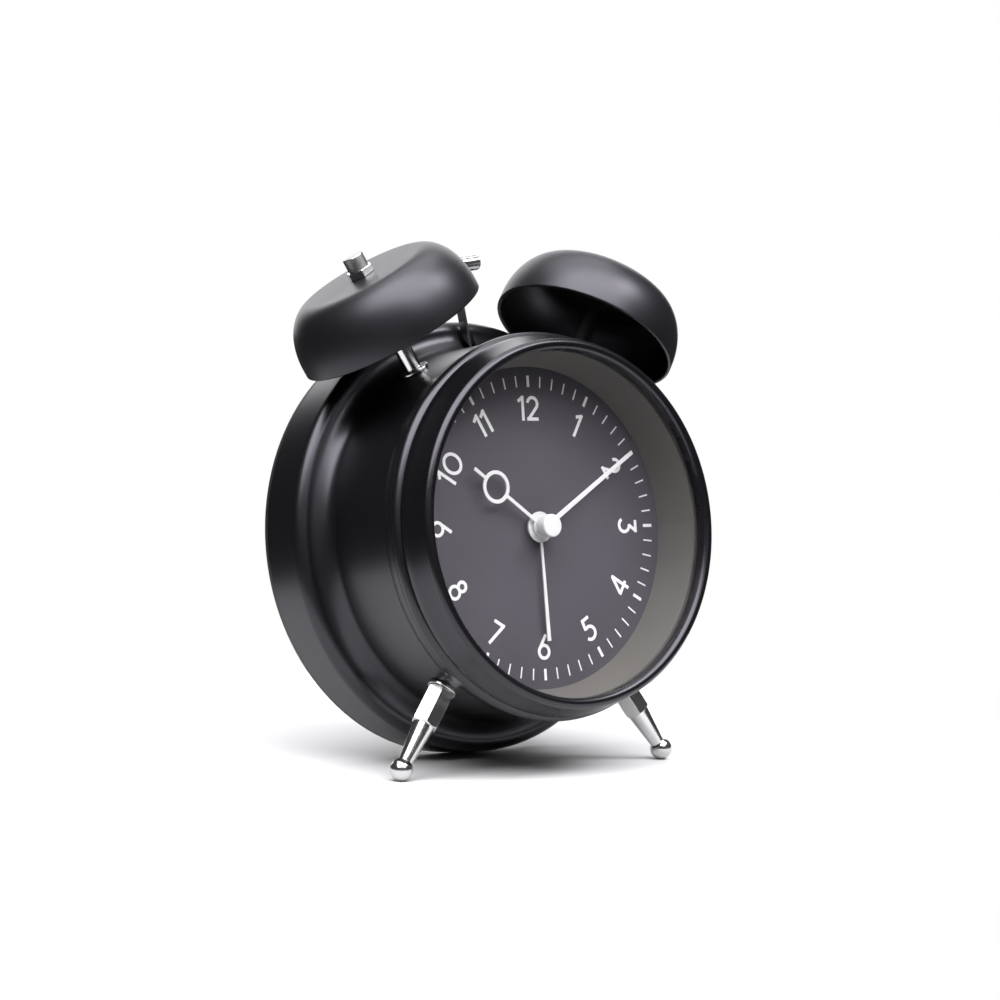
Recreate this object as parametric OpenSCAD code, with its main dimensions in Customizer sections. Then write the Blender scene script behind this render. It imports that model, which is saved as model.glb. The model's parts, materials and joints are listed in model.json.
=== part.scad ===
// Twin-bell alarm clock with a quartz movement, a motor-driven hammer and two turned legs.
// Every piece is drawn in the clock's own axes: the dial's centre is at zero, +X is to the right
// as seen from the front, +Y goes into the clock and +Z points to twelve. stand() then leans the
// whole clock back onto its two leg balls and the rear rim, and puts the floor at zero.

/* [Case] */
// Outer radius of the drum between the shoulder and the rear band
case_r = 51.6; // [48:0.1:64]
// Thickness of the pressed case sheet
case_wall = 1; // [0.8:0.1:1.2]
// Radius of the rounded shoulder bead at the front of the case
bead_r = 2.2; // [2:0.1:2.6]
// Depth from the dial's face to where the drum starts to flare
drum_depth = 21; // [20:0.1:30]
// Radius of the hollow fillet where the drum flares out
flare_r = 5.4; // [4:0.1:6]
// Radius of the rounded front edge of the rear band
band_edge_r = 3.2; // [2.5:0.1:4]
// Depth of the rear band behind its rounded edge
band_depth = 11.6; // [10:0.1:14]

/* [Rear cover] */
// Thickness of the rear cover's plate
cover_t = 1.6; // [1.2:0.1:2.4]
// Radius of the rear cover's rounded outer edge
cover_edge_r = 0.5; // [0.3:0.1:0.6]
// Number of rear cover screws
cover_screw_count = 3; // [3:1:5]

/* [Front] */
// Depth of the bezel's front ridge ahead of the dial
bezel_front = 16.8; // [15:0.1:20]
// Width of the bezel's front ridge
ridge_w = 3.2; // [2.6:0.1:3.6]
// Depth from the lens's inner face to the dial
dial_recess = 11.8; // [10.5:0.1:13]
// Thickness of the flat lens
lens_t = 1.6; // [1.2:0.1:2.2]
// Visible radius of the dial
dial_r = 44; // [40:0.1:45]
// Thickness of the dial
dial_t = 0.8; // [0.5:0.1:1.2]
// Mean radius of the minute marks
marks_r = 40; // [36:0.1:41]
// Length of a minute mark
mark_l = 3.1; // [2:0.1:4]
// Width of a minute mark
mark_w = 0.4; // [0.3:0.05:0.6]
// Width of an hour mark
hour_mark_w = 0.85; // [0.5:0.05:1.2]

/* [Hands] */
// Length of the minute hand from the centre
minute_l = 38; // [30:0.1:39]
// Length of the hour hand from the centre
hour_l = 27.4; // [22:0.1:30]
// Outer radius of the ring on the hour hand
hour_ring_r = 4.5; // [3:0.1:5.5]
// Distance of the hour hand's ring from the centre
hour_ring_at = 18.8; // [14:0.1:20]
// Length of the alarm hand from the centre
alarm_l = 31; // [25:0.1:33]
// Angle of the minute hand, clockwise from twelve
minute_angle = 57.9; // [0:0.1:360]
// Angle of the hour hand, clockwise from twelve
hour_angle = 305.4; // [0:0.1:360]
// Angle of the alarm hand, clockwise from twelve
alarm_angle = 178.6; // [0:0.1:360]
// Thickness of a hand
hand_t = 0.4; // [0.3:0.05:0.6]
// Radius of the alarm hand's hub
alarm_hub_r = 4.2; // [3.8:0.1:5]
// Radius of the cap on the minute hand
cap_r = 3.15; // [2.6:0.05:3.6]
// Height of the cap on the minute hand
cap_h = 2.5; // [2:0.1:3]

/* [Bells] */
// Radius of a bell at its rim
bell_r = 26.3; // [22:0.1:32]
// Height of a bell from its rim to its flat top
bell_h = 17.4; // [15:0.1:22]
// Radius of a bell's flat top
bell_top_r = 16.6; // [12:0.1:19]
// Height of the straight wall above a bell's rim
bell_side_h = 2.6; // [1:0.1:4]
// Thickness of the bell sheet
bell_wall = 1; // [0.8:0.1:1.4]
// Radial gap between the rear band and the plane of a bell's rim
rim_gap = 4; // [3:0.1:8]
// Depth of the bell posts behind the dial
bell_y = 15; // [14:0.1:17]
// Sideways distance from the middle of the clock to a bell's inner rim
strike_x = 11.1; // [10.6:0.1:14]
// Diameter of the bell posts
post_d = 4.8; // [4.6:0.1:5.4]
// Diameter of the threads on posts and legs
thread_d = 3.9; // [3.4:0.1:4]
// Width across the flats of the hex nuts
nut_af = 6.8; // [6.6:0.1:7.5]
// Height of the hex nuts
nut_h = 2.2; // [1.8:0.1:3]
// Diameter of the round cap nuts
cap_nut_d = 5.9; // [5.6:0.1:6.4]
// Height of the round cap nuts
cap_nut_h = 3.9; // [3.4:0.1:5]
// Diameter of the washers on the case
washer_d = 8.2; // [7.6:0.1:9]
// Thickness of the washers
washer_t = 0.8; // [0.6:0.1:1]

/* [Legs] */
// Angle of each leg from straight down
leg_angle = 36; // [33:0.1:40]
// Depth of the legs behind the dial
leg_y = 6.4; // [5:0.1:10]
// Length of the hexagonal part of a leg
leg_hex_l = 11.1; // [9:0.1:14]
// Length of a leg from the hexagon to the ball's centre
leg_cone_l = 13.7; // [11:0.1:17]
// Radius of the cone at the hexagon
leg_cone_r = 3.05; // [2.8:0.05:3.3]
// Radius of the cone at the ball
leg_tip_r = 1.7; // [1.5:0.05:2]
// Radius of the ball
ball_r = 3.06; // [2.8:0.02:3.6]

/* [Hammer] */
// Diameter of the hammer's head
head_d = 4.4; // [4:0.1:5]
// Length of the hammer's head
head_l = 16.9; // [14:0.1:17.5]
// Depth of the hammer behind the dial
hammer_y = 24.4; // [24.2:0.1:25]
// Height of the hammer's head above the bells' inner rims
head_lift = 7.2; // [6.8:0.1:9]
// Width of the hammer's spring strip
strip_w = 3; // [2.5:0.1:3.4]
// Thickness of the hammer's spring strip
strip_t = 0.8; // [0.6:0.1:0.9]
// Swing of the hammer to each side of upright, in degrees
hammer_swing = 12.3; // [10:0.1:12.3]
// Lean of the hammer towards the left bell at rest, in degrees
hammer_rest = 9; // [0:0.5:10]

/* [Movement] */
// Half of the movement's width
movement_half = 27; // [27:0.5:33]
// Wall of the movement's case
movement_wall = 1.5; // [1.2:0.1:2]
// Tooth size of the setting gears
gear_module = 0.5; // [0.5:0.01:0.52]
// Tooth size of the going train
fine_module = 0.25; // [0.25:0.005:0.26]
// Diameter of the battery
battery_d = 14.2; // [13.5:0.1:17.1]
// Length of the battery without its button
battery_l = 49; // [48:0.1:49.5]
// Diameter of the setting knobs
knob_d = 11; // [9:0.1:13]
// Height of the setting knobs behind the rear cover
knob_h = 6; // [5:0.1:9]
// Travel of the alarm switch
switch_travel = 5; // [4:0.1:6]

/* [Hidden] */
$fn = 96;

// Clearances
run = 0.05; // between a shaft and its bore
gap = 0.2; // between fixed pieces that slide together
hole_gap = 0.15; // between a thread and its hole

// Case and front
lip_angle = -75;
bead_c = case_r - 1;
bead_y = -5.6;
lip_y = bead_y + bead_r * sin(lip_angle);
flare_c = case_r + flare_r;
edge_y = drum_depth + flare_r + band_edge_r;
band_r = flare_c + band_edge_r;
shell_end = edge_y + band_depth;
case_in = case_r - case_wall;
band_in = band_r - case_wall;
skirt_r = case_in - gap;
skirt_wall = 2;
seat_r = skirt_r - skirt_wall;
front_r = seat_r - gap;
lens_front = -dial_recess - lens_t;
bezel_in = seat_r - 1.6;
ridge_c = seat_r - 0.1;
carrier_t = 1.6;
back_of_dial = dial_t + carrier_t;
skirt_end = back_of_dial - 0.2;

// Hands and their tubes
tube_wall = 0.65;
arbor_r = 0.75;
hour_in = arbor_r + run;
hour_out = hour_in + tube_wall;
alarm_in = hour_out + run;
alarm_out = alarm_in + tube_wall;
bush_in = alarm_out + run;
bush_out = bush_in + 0.9;
alarm_hand_y = -1.8;
hour_hand_y = -2.9;
minute_hand_y = -4.6;

// Movement, as depths behind the dial's face
front_wall = back_of_dial + movement_wall;
alarm_gear_y = front_wall + 0.6;
hour_gear_y = alarm_gear_y + 1.8;
motion_gear_y = hour_gear_y + 1.9;
centre_gear_y = motion_gear_y + 2.3;
step_gear_y = centre_gear_y + 1.6;
set_gear_y = step_gear_y + 1.6;
gear_t = 1.2;
fine_t = 0.9;
movement_end = set_gear_y + 4.6;
movement_back = movement_end + movement_wall;
boss_h = 0.6;
// A tooth's corners, as height from the pitch circle in modules and share of the pitch
tooth = [[-1.15, -0.58], [0, -0.38], [0.8, -0.16], [0.8, 0.16], [0, 0.38], [-1.15, 0.58]];
pinion_teeth = 12;
motion_teeth = 36;
motion_pinion_teeth = 10;
hour_teeth = 40;
set_teeth = 20;
alarm_teeth = 40;
fine_pinion = 8;
step_teeth = 72;
centre_teeth = 80;
motion_at = gear_module * (pinion_teeth + motion_teeth) / 2;
hour_module = 2 * motion_at / (motion_pinion_teeth + hour_teeth);
time_knob_at = gear_module * set_teeth;
alarm_knob_at = gear_module * (set_teeth + alarm_teeth) / 2;
step_at = fine_module * (fine_pinion + centre_teeth) / 2;
rotor_at = fine_module * (fine_pinion + step_teeth) / 2;
step_dir = 135;
step_x = step_at * cos(step_dir);
step_z = step_at * sin(step_dir);
rotor_x = step_x + rotor_at * cos(step_dir);
rotor_z = step_z + rotor_at * sin(step_dir);
set_shaft_r = 1.2;
pivot_r = 0.4;
stator_t = 0.8;
stator_half = 9;
magnet_r = 2.6;

// Rear cover, battery and switch
cover_end = shell_end + cover_t;
spigot_r = band_in - gap;
bay_x = battery_l / 2 + 3.4;
bay_half_z = battery_d / 2 + 2.4;
bay_wall = 1.6;
bay_z = -(sqrt(pow(case_in - 1.5, 2) - pow(bay_x + bay_wall, 2)) - bay_half_z - bay_wall);
bay_front = cover_end - battery_d - 4.6;
battery_y = bay_front + bay_wall + battery_d / 2 + 0.6;
door_t = 1.4;
door_gap = 0.35;
hinge_y = cover_end - door_t;
hinge_z = bay_z - bay_half_z + door_t + door_gap;
hinge_pin_r = 0.7;
hinge_pin_l = 1.1;
door_top = bay_z + bay_half_z - door_gap;
door_x = bay_x - door_gap;
switch_z = 22;
switch_w = 5;
switch_h = 3.2;
knob_y = cover_end + 0.6;

// Bells: each post leans so that its bell clears the rear band and leaves room for the hammer
rim_at = band_r + rim_gap;
bell_angle = asin(strike_x / sqrt(pow(rim_at, 2) + pow(bell_r, 2))) + atan2(bell_r, rim_at);
bell_top_at = rim_at + bell_h;
nut_ac = nut_af / cos(30);
rim_z = rim_at * cos(bell_angle) + bell_r * sin(bell_angle);

// Legs
leg_hex_at = case_r + 0.02 + washer_t + 0.2;
leg_cone_at = leg_hex_at + leg_hex_l;
ball_at = leg_cone_at + leg_cone_l;

// Hammer and ringing motor
head_z = rim_z + head_lift;
pivot_z = case_in - 4.1;
hub_r = 2.3;
grip_at = 1.6;
grip_wall = 0.5;
crank_arm = 12;
crank_z = pivot_z - crank_arm;
pin_r = 0.7;
crank_throw = (crank_arm - 2.6) * tan(hammer_swing);
fork_half = crank_throw + crank_arm * tan(hammer_rest) + pin_r + 0.5;
fork_arm = 1.6;
bracket_y = movement_back + boss_h;
bracket_t = 1.2;
foot_x = 12;
foot_z = movement_half - 4;
ear_half = 3;
crank_teeth = 28;
motor_teeth = 8;
crank_gear_y = bracket_y + bracket_t + 0.3;
lever_t = 2;
lever_y = crank_gear_y + gear_t + 0.4;
hub_end = max(lever_y + lever_t, hammer_y + strip_w / 2 + grip_wall);
motor_at = gear_module * (crank_teeth + motor_teeth) / 2;
motor_dir = 126.87;
motor_x = motor_at * cos(motor_dir);
motor_z = crank_z + motor_at * sin(motor_dir);
motor_r = 6;
motor_l = 12;
slot_half = (case_r + 2.6 - pivot_z) * tan(hammer_swing) + strip_t / 2 + 0.6;

// Lean: the clock rests on the leg balls and on the rear cover's rounded edge
ball_low = ball_at * cos(leg_angle);
rim_low = band_r - cover_edge_r;
rest_run = cover_end - cover_edge_r - leg_y;
rest_rise = ball_low - rim_low;
lean = atan2(rest_rise, rest_run)
    + asin((ball_r - cover_edge_r) / sqrt(pow(rest_run, 2) + pow(rest_rise, 2)));
floor_z = ball_low * cos(lean) + leg_y * sin(lean) + ball_r;
front_reach = (bezel_front - ridge_w / 2) * cos(lean) + ridge_c * sin(lean) + ridge_w / 2;
rear_reach = (cover_end - cover_edge_r) * cos(lean) + rim_low * sin(lean) + cover_edge_r;
bell_reach = max([for (p = bell_profile(0)) bell_far(p[0], rim_at + p[1])]);
knob_reach = (knob_y + knob_h) * cos(lean) + knob_d / 2 * sin(lean);
centre_y = (max(rear_reach, bell_reach, knob_reach) - front_reach) / 2;

// Farthest point behind the dial's centre of a bell's circle of radius r at distance at
function bell_far(r, at) =
    bell_y * cos(lean) + at * cos(bell_angle) * sin(lean)
    + r * sqrt(1 - pow(cos(bell_angle) * sin(lean), 2));

// Points on an arc, from angle a to angle b
function arc(x, y, r, a, b, n = 12) =
    [for (i = [0:n]) [x + r * cos(a + (b - a) * i / n), y + r * sin(a + (b - a) * i / n)]];

// Points on an ellipse's quarter, from the outside to the top
function quarter(x, y, rx, ry, n = 16) =
    [for (i = [0:n]) [x + rx * cos(90 * i / n), y + ry * sin(90 * i / n)]];

function reversed(list) = [for (i = [len(list) - 1:-1:0]) list[i]];

// The case's profile as radius and depth, moved inwards by t
function case_line(t) = concat(
    arc(bead_c, bead_y, bead_r - t, lip_angle, 50),
    arc(case_r + 4 - t, 0, 4, 200, 180, 4),
    arc(flare_c, drum_depth, flare_r + t, 180, 90),
    arc(flare_c, edge_y, band_edge_r - t, -90, 0),
    [[band_r - t, shell_end]]
);

// A bell's profile as radius and height above its rim, moved inwards by t
function bell_profile(t) = concat(
    [[bell_r - t, 0]],
    quarter(bell_top_r, bell_side_h, bell_r - bell_top_r - t, bell_h - bell_side_h - t)
);

// A gear's outline: each tooth is narrower than its gap, so that meshing teeth have backlash
function gear_line(teeth, m) = [
    for (i = [0:teeth - 1], p = tooth)
        let (r = m * (teeth / 2 + p[0]), a = (i + p[1] / 2) * 360 / teeth)
            [r * cos(a), r * sin(a)]
];

// Leans the clock back and puts it on the floor
module stand() {
    translate([0, -centre_y, floor_z]) rotate([-lean, 0, 0]) children();
}

// Turns a profile of radius and depth about the clock's axis
module turned(points) {
    rotate([-90, 0, 0]) rotate_extrude() polygon(points);
}

// A flat shape, drawn as seen from the front, of thickness t starting at depth y
module layer(y, t) {
    translate([0, y + t, 0]) rotate([90, 0, 0]) linear_extrude(t) children();
}

// A rod along the clock's axis
module rod(r, y, t, x = 0, z = 0) {
    translate([x, y, z]) rotate([-90, 0, 0]) cylinder(r = r, h = t);
}

// Puts a piece drawn along +Z onto a radius of the case
module radial(angle, y) {
    translate([0, y, 0]) rotate([0, angle, 0]) children();
}

// A toothed wheel, with one tooth pointing along angle
module gear(teeth, m, y, t, angle = 0) {
    layer(y, t) rotate(angle) polygon(gear_line(teeth, m));
}

// A hand's flat shape, turned clockwise from twelve
module hand_at(angle, y) {
    layer(y, hand_t) rotate(-angle) children();
}

module case_shell() {
    color("#17171a") stand() difference() {
        turned(concat(case_line(0), reversed(case_line(case_wall))));
        for (side = [-1, 1]) {
            radial(side * bell_angle, bell_y)
                translate([0, 0, case_in - 3]) cylinder(r = thread_d / 2 + hole_gap, h = 6);
            radial(side * (180 - leg_angle), leg_y)
                translate([0, 0, case_in - 3]) cylinder(r = thread_d / 2 + hole_gap, h = 6);
        }
        translate([-slot_half, hammer_y - strip_w / 2 - 0.6, case_in - 2])
            cube([2 * slot_half, strip_w + 1.2, 8]);
    }
}

module bezel() {
    flange_y = lip_y - 0.4;
    color("#1c1c1f") stand() turned(concat(
        [[seat_r, skirt_end], [skirt_r, skirt_end], [skirt_r, flange_y], [case_r + 0.1, flange_y]],
        [[case_r + 0.2, flange_y - 0.8], [case_r - 0.3, flange_y - 3]],
        arc(ridge_c, -bezel_front + ridge_w / 2, ridge_w / 2, 0, -150),
        [[bezel_in, lens_front - 0.5], [bezel_in, lens_front], [seat_r, lens_front]]
    ));
}

module lens() {
    color([0.85, 0.9, 0.92, 0.3]) stand() rod(front_r, lens_front, lens_t);
}

module dial_ring() {
    color("#6a6966") stand() turned([
        [bezel_in + 0.1, -dial_recess], [front_r, -dial_recess], [front_r, 0], [dial_r, 0]
    ]);
}

module dial() {
    color("#4c4a50") stand() difference() {
        rod(front_r, 0, dial_t);
        rod(bush_out + gap, -1, dial_t + 2);
    }
}

module minute_marks() {
    mark_t = 0.05;
    color("white") stand() layer(-mark_t, mark_t) for (i = [0:59]) {
        w = i % 5 == 0 ? hour_mark_w : mark_w;
        rotate(6 * i) translate([-w / 2, marks_r - mark_l / 2]) square([w, mark_l]);
    }
}

// The four corners where the movement is screwed to the dial's carrier
module at_corners() {
    for (x = [-1, 1], z = [-1, 1])
        translate([x * (movement_half - 3.5), 0, z * (movement_half - 3.5)]) children();
}

module dial_carrier() {
    color("#3a3a3c") stand() difference() {
        rod(front_r, dial_t, carrier_t);
        rod(bush_out + gap, 0, 4);
        at_corners() {
            rod(1 + hole_gap, 0, 4);
            rod(2 + gap, 0, dial_t + 1);
        }
    }
}

module movement_screws() {
    color("#b9bbbe") stand() at_corners() {
        rod(2, dial_t + 0.1, 0.9);
        rod(1, dial_t + 1, carrier_t + movement_wall + 3);
    }
}

module movement_case() {
    color("#d8d8d2") stand() difference() {
        union() {
            difference() {
                translate([-movement_half, back_of_dial, -movement_half])
                    cube([2 * movement_half, movement_end - back_of_dial, 2 * movement_half]);
                translate([movement_wall - movement_half, front_wall, movement_wall - movement_half])
                    cube([2, 2, 2] * (movement_half - movement_wall));
            }
            rod(bush_out, -0.6, front_wall + 0.6);
            at_corners() rod(3, back_of_dial, 8);
            rod(1.5, back_of_dial, step_gear_y - 1.6 - back_of_dial, rotor_x, rotor_z);
        }
        rod(bush_in, -1, 12);
        at_corners() rod(1, 0, 9);
        rod(pivot_r + run, step_gear_y - 4, 12, rotor_x, rotor_z);
        rod(pivot_r + run, back_of_dial + 0.6, 2, step_x, step_z);
        rod(pivot_r + run, back_of_dial + 0.6, 2, 0, -motion_at);
    }
}

module movement_cover() {
    color("#e3e3dd") stand() difference() {
        union() {
            translate([-movement_half, movement_end, -movement_half])
                cube([2 * movement_half, movement_wall, 2 * movement_half]);
            for (side = [-1, 1]) rod(2.4, movement_back, boss_h, side * foot_x, foot_z);
            translate([-time_knob_at, 0, 0]) rod(2.4, movement_end - 1.4, 5);
            translate([alarm_knob_at, 0, 0]) rod(2.4, movement_end - 1.4, 5);
            rod(2.2, movement_end - 1.4, 2);
        }
        for (side = [-1, 1]) rod(1, movement_end, 5, side * foot_x, foot_z);
        rod(set_shaft_r + run, 0, 60, -time_knob_at);
        rod(set_shaft_r + run, 0, 60, alarm_knob_at);
        rod(arbor_r + run, 0, movement_end + 0.8);
        rod(pivot_r + run, 0, movement_end + 1, step_x, step_z);
        rod(pivot_r + run, 0, movement_end + 1, rotor_x, rotor_z);
        rod(pivot_r + run, 0, movement_end + 1, 0, -motion_at);
    }
}

module circuit_board() {
    color("#2c6a3c") stand()
        translate([2, set_gear_y + 1.7, 7]) cube([movement_half - 5, 1, movement_half - 14]);
    color("#111111") stand() translate([10, set_gear_y + 0.5, 11]) cube([6, 1.2, 6]);
}

// The stator is a flat loop: the rotor turns in its wide leg and the coil sits on its narrow leg
module stator() {
    color("#8d9094") stand() difference() {
        translate([rotor_x - 9, set_gear_y, rotor_z - stator_half])
            cube([12.5, stator_t, 2 * stator_half]);
        translate([rotor_x - 6.5, set_gear_y - 1, rotor_z - 6]) cube([3, stator_t + 2, 12]);
        rod(magnet_r + 0.5, set_gear_y - 1, stator_t + 2, rotor_x, rotor_z);
    }
}

module coil() {
    leg_w = 2.5;
    color("#b4602a") stand() difference() {
        translate([rotor_x - 9 + leg_w / 2, set_gear_y + stator_t / 2, rotor_z - 5.5])
            cylinder(r = 2.6, h = 11);
        translate([rotor_x - 9, set_gear_y, rotor_z - 6]) cube([leg_w, stator_t, 12]);
    }
}

module rotor() {
    gear_top = step_gear_y - 0.2;
    color("#44474c") stand() translate([rotor_x, 0, rotor_z]) {
        gear(fine_pinion, fine_module, gear_top, fine_t + 0.5, step_dir + 180 + 180 / fine_pinion);
        rod(pivot_r, gear_top - 2.8, movement_end + 0.8 - gear_top + 2.8);
        rod(magnet_r, gear_top + fine_t + 0.5, 2.6);
    }
}

module step_wheel() {
    wheel_turn = step_dir;
    color("#d9b65c") stand() translate([step_x, 0, step_z]) {
        gear(step_teeth, fine_module, step_gear_y, fine_t, wheel_turn);
        gear(fine_pinion, fine_module, centre_gear_y - 0.2, step_gear_y - centre_gear_y + 0.2,
            step_dir + 180 + 180 / fine_pinion);
        rod(pivot_r, back_of_dial + 0.8, movement_end + 0.8 - back_of_dial - 0.8);
    }
}

module centre_wheel() {
    color("#d9b65c") stand() difference() {
        union() {
            gear(centre_teeth, fine_module, centre_gear_y, fine_t, step_dir);
            rod(1.9, centre_gear_y - 0.3, fine_t + 0.9);
        }
        rod(arbor_r + run, 0, 30);
    }
}

module minute_arbor() {
    color("#c9ccd0") stand() {
        rod(arbor_r, minute_hand_y - cap_h / 2, movement_end + 0.7 - minute_hand_y + cap_h / 2);
        gear(pinion_teeth, gear_module, motion_gear_y - 0.2, gear_t + 0.5, -90);
        gear(set_teeth, gear_module, set_gear_y, gear_t, 180);
    }
}

module motion_wheel() {
    pinion_y = hour_gear_y - 0.2;
    color("#e8e4d4") stand() translate([0, 0, -motion_at]) {
        gear(motion_teeth, gear_module, motion_gear_y, gear_t, 90 + 180 / motion_teeth);
        gear(motion_pinion_teeth, hour_module, pinion_y, motion_gear_y - pinion_y, 90);
        rod(pivot_r, back_of_dial + 0.8, movement_end + 0.8 - back_of_dial - 0.8);
    }
}

module hour_wheel() {
    color("#e8e4d4") stand() difference() {
        union() {
            gear(hour_teeth, hour_module, hour_gear_y, gear_t, -90 + 180 / hour_teeth);
            rod(hour_out, hour_hand_y, hour_gear_y - hour_hand_y + 1);
            rod(alarm_out, hour_gear_y - 0.3, gear_t + 0.4);
        }
        rod(arbor_r + run, -20, 40);
    }
}

module alarm_wheel() {
    color("#dcd2b4") stand() difference() {
        union() {
            gear(alarm_teeth, gear_module, alarm_gear_y, gear_t, 0);
            rod(alarm_out, alarm_hand_y, alarm_gear_y - alarm_hand_y + 1);
        }
        rod(alarm_in, -20, 40);
    }
}

module minute_hand() {
    color("white") stand() difference() {
        hand_at(minute_angle, minute_hand_y) {
            polygon([[-0.7, 0], [0.7, 0], [0.55, minute_l], [-0.55, minute_l]]);
            circle(r = cap_r);
        }
        rod(arbor_r, -10, 12);
    }
}

module hand_cap() {
    color("white") stand() difference() {
        rod(cap_r, minute_hand_y - cap_h, cap_h);
        rod(arbor_r, minute_hand_y - cap_h / 2, cap_h);
    }
}

module hour_hand() {
    band = 1.05;
    stem = 0.5;
    ring_end = hour_ring_at + hour_ring_r - band / 2;
    color("white") stand() difference() {
        hand_at(hour_angle, hour_hand_y) {
            translate([-stem, 0]) square([2 * stem, hour_ring_at - hour_ring_r + band / 2]);
            translate([0, hour_ring_at]) difference() {
                circle(r = hour_ring_r);
                circle(r = hour_ring_r - band);
            }
            translate([-stem, ring_end]) square([2 * stem, hour_l - ring_end]);
            circle(r = cap_r);
        }
        rod(hour_out, -10, 12);
    }
}

module alarm_hand() {
    color("white") stand() difference() {
        hand_at(alarm_angle, alarm_hand_y) {
            polygon([[-0.32, 0], [0.32, 0], [0.6, alarm_l], [-0.6, alarm_l]]);
            circle(r = alarm_hub_r);
        }
        rod(alarm_out, -10, 12);
    }
}

module time_set_shaft() {
    color("#e8e4d4") stand() translate([-time_knob_at, 0, 0]) {
        gear(set_teeth, gear_module, set_gear_y, gear_t, 180 / set_teeth);
        rod(set_shaft_r, set_gear_y, knob_y + knob_h / 2 - set_gear_y);
    }
}

module alarm_set_shaft() {
    color("#dcd2b4") stand() translate([alarm_knob_at, 0, 0]) {
        gear(set_teeth, gear_module, alarm_gear_y, gear_t, 180 + 180 / set_teeth);
        rod(set_shaft_r, alarm_gear_y, knob_y + knob_h / 2 - alarm_gear_y);
    }
}

// A knurled knob with a blind hole for its shaft
module knob(x) {
    stand() translate([x, 0, 0]) difference() {
        union() {
            layer(knob_y, knob_h) circle(r = knob_d / 2 - 0.5);
            layer(knob_y + 1, knob_h - 2) polygon([
                for (i = [0:59]) let (r = knob_d / 2 - (i % 2) * 0.4) [r * cos(6 * i), r * sin(6 * i)]
            ]);
        }
        rod(set_shaft_r, knob_y - 1, knob_h / 2 + 1);
    }
}

module time_set_knob() { color("#202022") knob(-time_knob_at); }

module alarm_set_knob() { color("#202022") knob(alarm_knob_at); }

module alarm_switch() {
    color("#c8c8c8") stand() translate([-switch_travel / 2, 0, switch_z]) {
        translate([-switch_w / 2 - 4, shell_end - 1.4, -3]) cube([switch_w + 8, 1.2, 6]);
        translate([-switch_w / 2, shell_end - 0.4, -switch_h / 2])
            cube([switch_w, cover_t + 2.4, switch_h]);
    }
}

// The places of the rear cover's screws, the first at twelve
module at_cover_screws() {
    for (i = [0:cover_screw_count - 1])
        rotate([0, i * 360 / cover_screw_count, 0]) translate([0, 0, spigot_r - 6]) children();
}

module rear_cover() {
    bay = [2 * bay_x, cover_end - bay_front, 2 * bay_half_z];
    outer = bay + [2 * bay_wall, -0.5, 2 * bay_wall];
    color("#1a1a1c") stand() difference() {
        union() {
            turned(concat(
                [[0, shell_end], [band_r, shell_end]],
                arc(band_r - cover_edge_r, cover_end - cover_edge_r, cover_edge_r, 0, 90, 6),
                [[0, cover_end]]
            ));
            turned([
                [spigot_r - 2, shell_end - 3], [spigot_r, shell_end - 3],
                [spigot_r, shell_end + 0.2], [spigot_r - 2, shell_end + 0.2]
            ]);
            translate([0, bay_front + outer[1] / 2, bay_z]) cube(outer, center = true);
        }
        translate([0, bay_front + bay_wall + bay[1] / 2, bay_z]) cube(bay, center = true);
        for (side = [-1, 1])
            translate([side * (door_x + hinge_pin_l / 2 + 0.2), hinge_y, hinge_z]) rotate([0, 90, 0])
                cylinder(r = hinge_pin_r + run, h = hinge_pin_l + 0.8, center = true);
        rod(set_shaft_r + 0.3, 0, 80, -time_knob_at);
        rod(set_shaft_r + 0.3, 0, 80, alarm_knob_at);
        at_cover_screws() {
            rod(1.5 + hole_gap, shell_end - 1, cover_t + 2);
            rod(2.7 + gap, cover_end - 0.8, 2);
        }
        translate([-switch_travel / 2 - switch_w / 2 - 0.3, shell_end - 1, switch_z - switch_h / 2 - 0.3])
            cube([switch_w + switch_travel + 0.6, cover_t + 2, switch_h + 0.6]);
    }
}

module cover_brackets() {
    color("#9a9ca0") stand() difference() {
        at_cover_screws() {
            translate([-5, shell_end - 6, -6]) cube([10, 2, 6 + 6 + gap - 0.8]);
            translate([-5, shell_end - 12, 5.2 - 1]) cube([10, 6, 1]);
        }
        at_cover_screws() rod(1.5, 0, 60);
    }
}

module cover_screws() {
    color("#b9bbbe") stand() at_cover_screws() {
        difference() {
            rod(2.7, cover_end - 0.75, 1.4);
            layer(cover_end + 0.1, 2) {
                square([3.4, 0.6], center = true);
                square([0.6, 3.4], center = true);
            }
        }
        rod(1.5, shell_end - 6, cover_t + 6 - 0.7);
    }
}

module battery_door() {
    color("#1e1e20") stand() {
        difference() {
            union() {
                translate([-door_x, hinge_y, hinge_z]) cube([2 * door_x, door_t, door_top - hinge_z]);
                translate([0, hinge_y, hinge_z]) rotate([0, 90, 0])
                    cylinder(r = door_t, h = 2 * door_x, center = true);
            }
            for (i = [-2:2])
                translate([-9, cover_end - 0.4, door_top - 4 + i * 1.1]) cube([18, 1, 0.5]);
        }
        translate([0, hinge_y, hinge_z]) rotate([0, 90, 0])
            cylinder(r = hinge_pin_r, h = 2 * (door_x + hinge_pin_l), center = true);
    }
}

module battery() {
    color("#c58a2c") stand() translate([-battery_l / 2, battery_y, bay_z]) rotate([0, 90, 0]) {
        cylinder(r = battery_d / 2, h = battery_l);
        cylinder(r = 2.7, h = battery_l + 1.2);
    }
}

module battery_contact() {
    color("#d0d2d4") stand() {
        translate([bay_x - 0.6, battery_y - 5, bay_z - 5]) cube([0.6, 10, 10]);
        translate([battery_l / 2 + 1.2, battery_y - 2, bay_z - 2])
            cube([bay_x - 0.6 - battery_l / 2 - 1.2, 4, 4]);
    }
}

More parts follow.
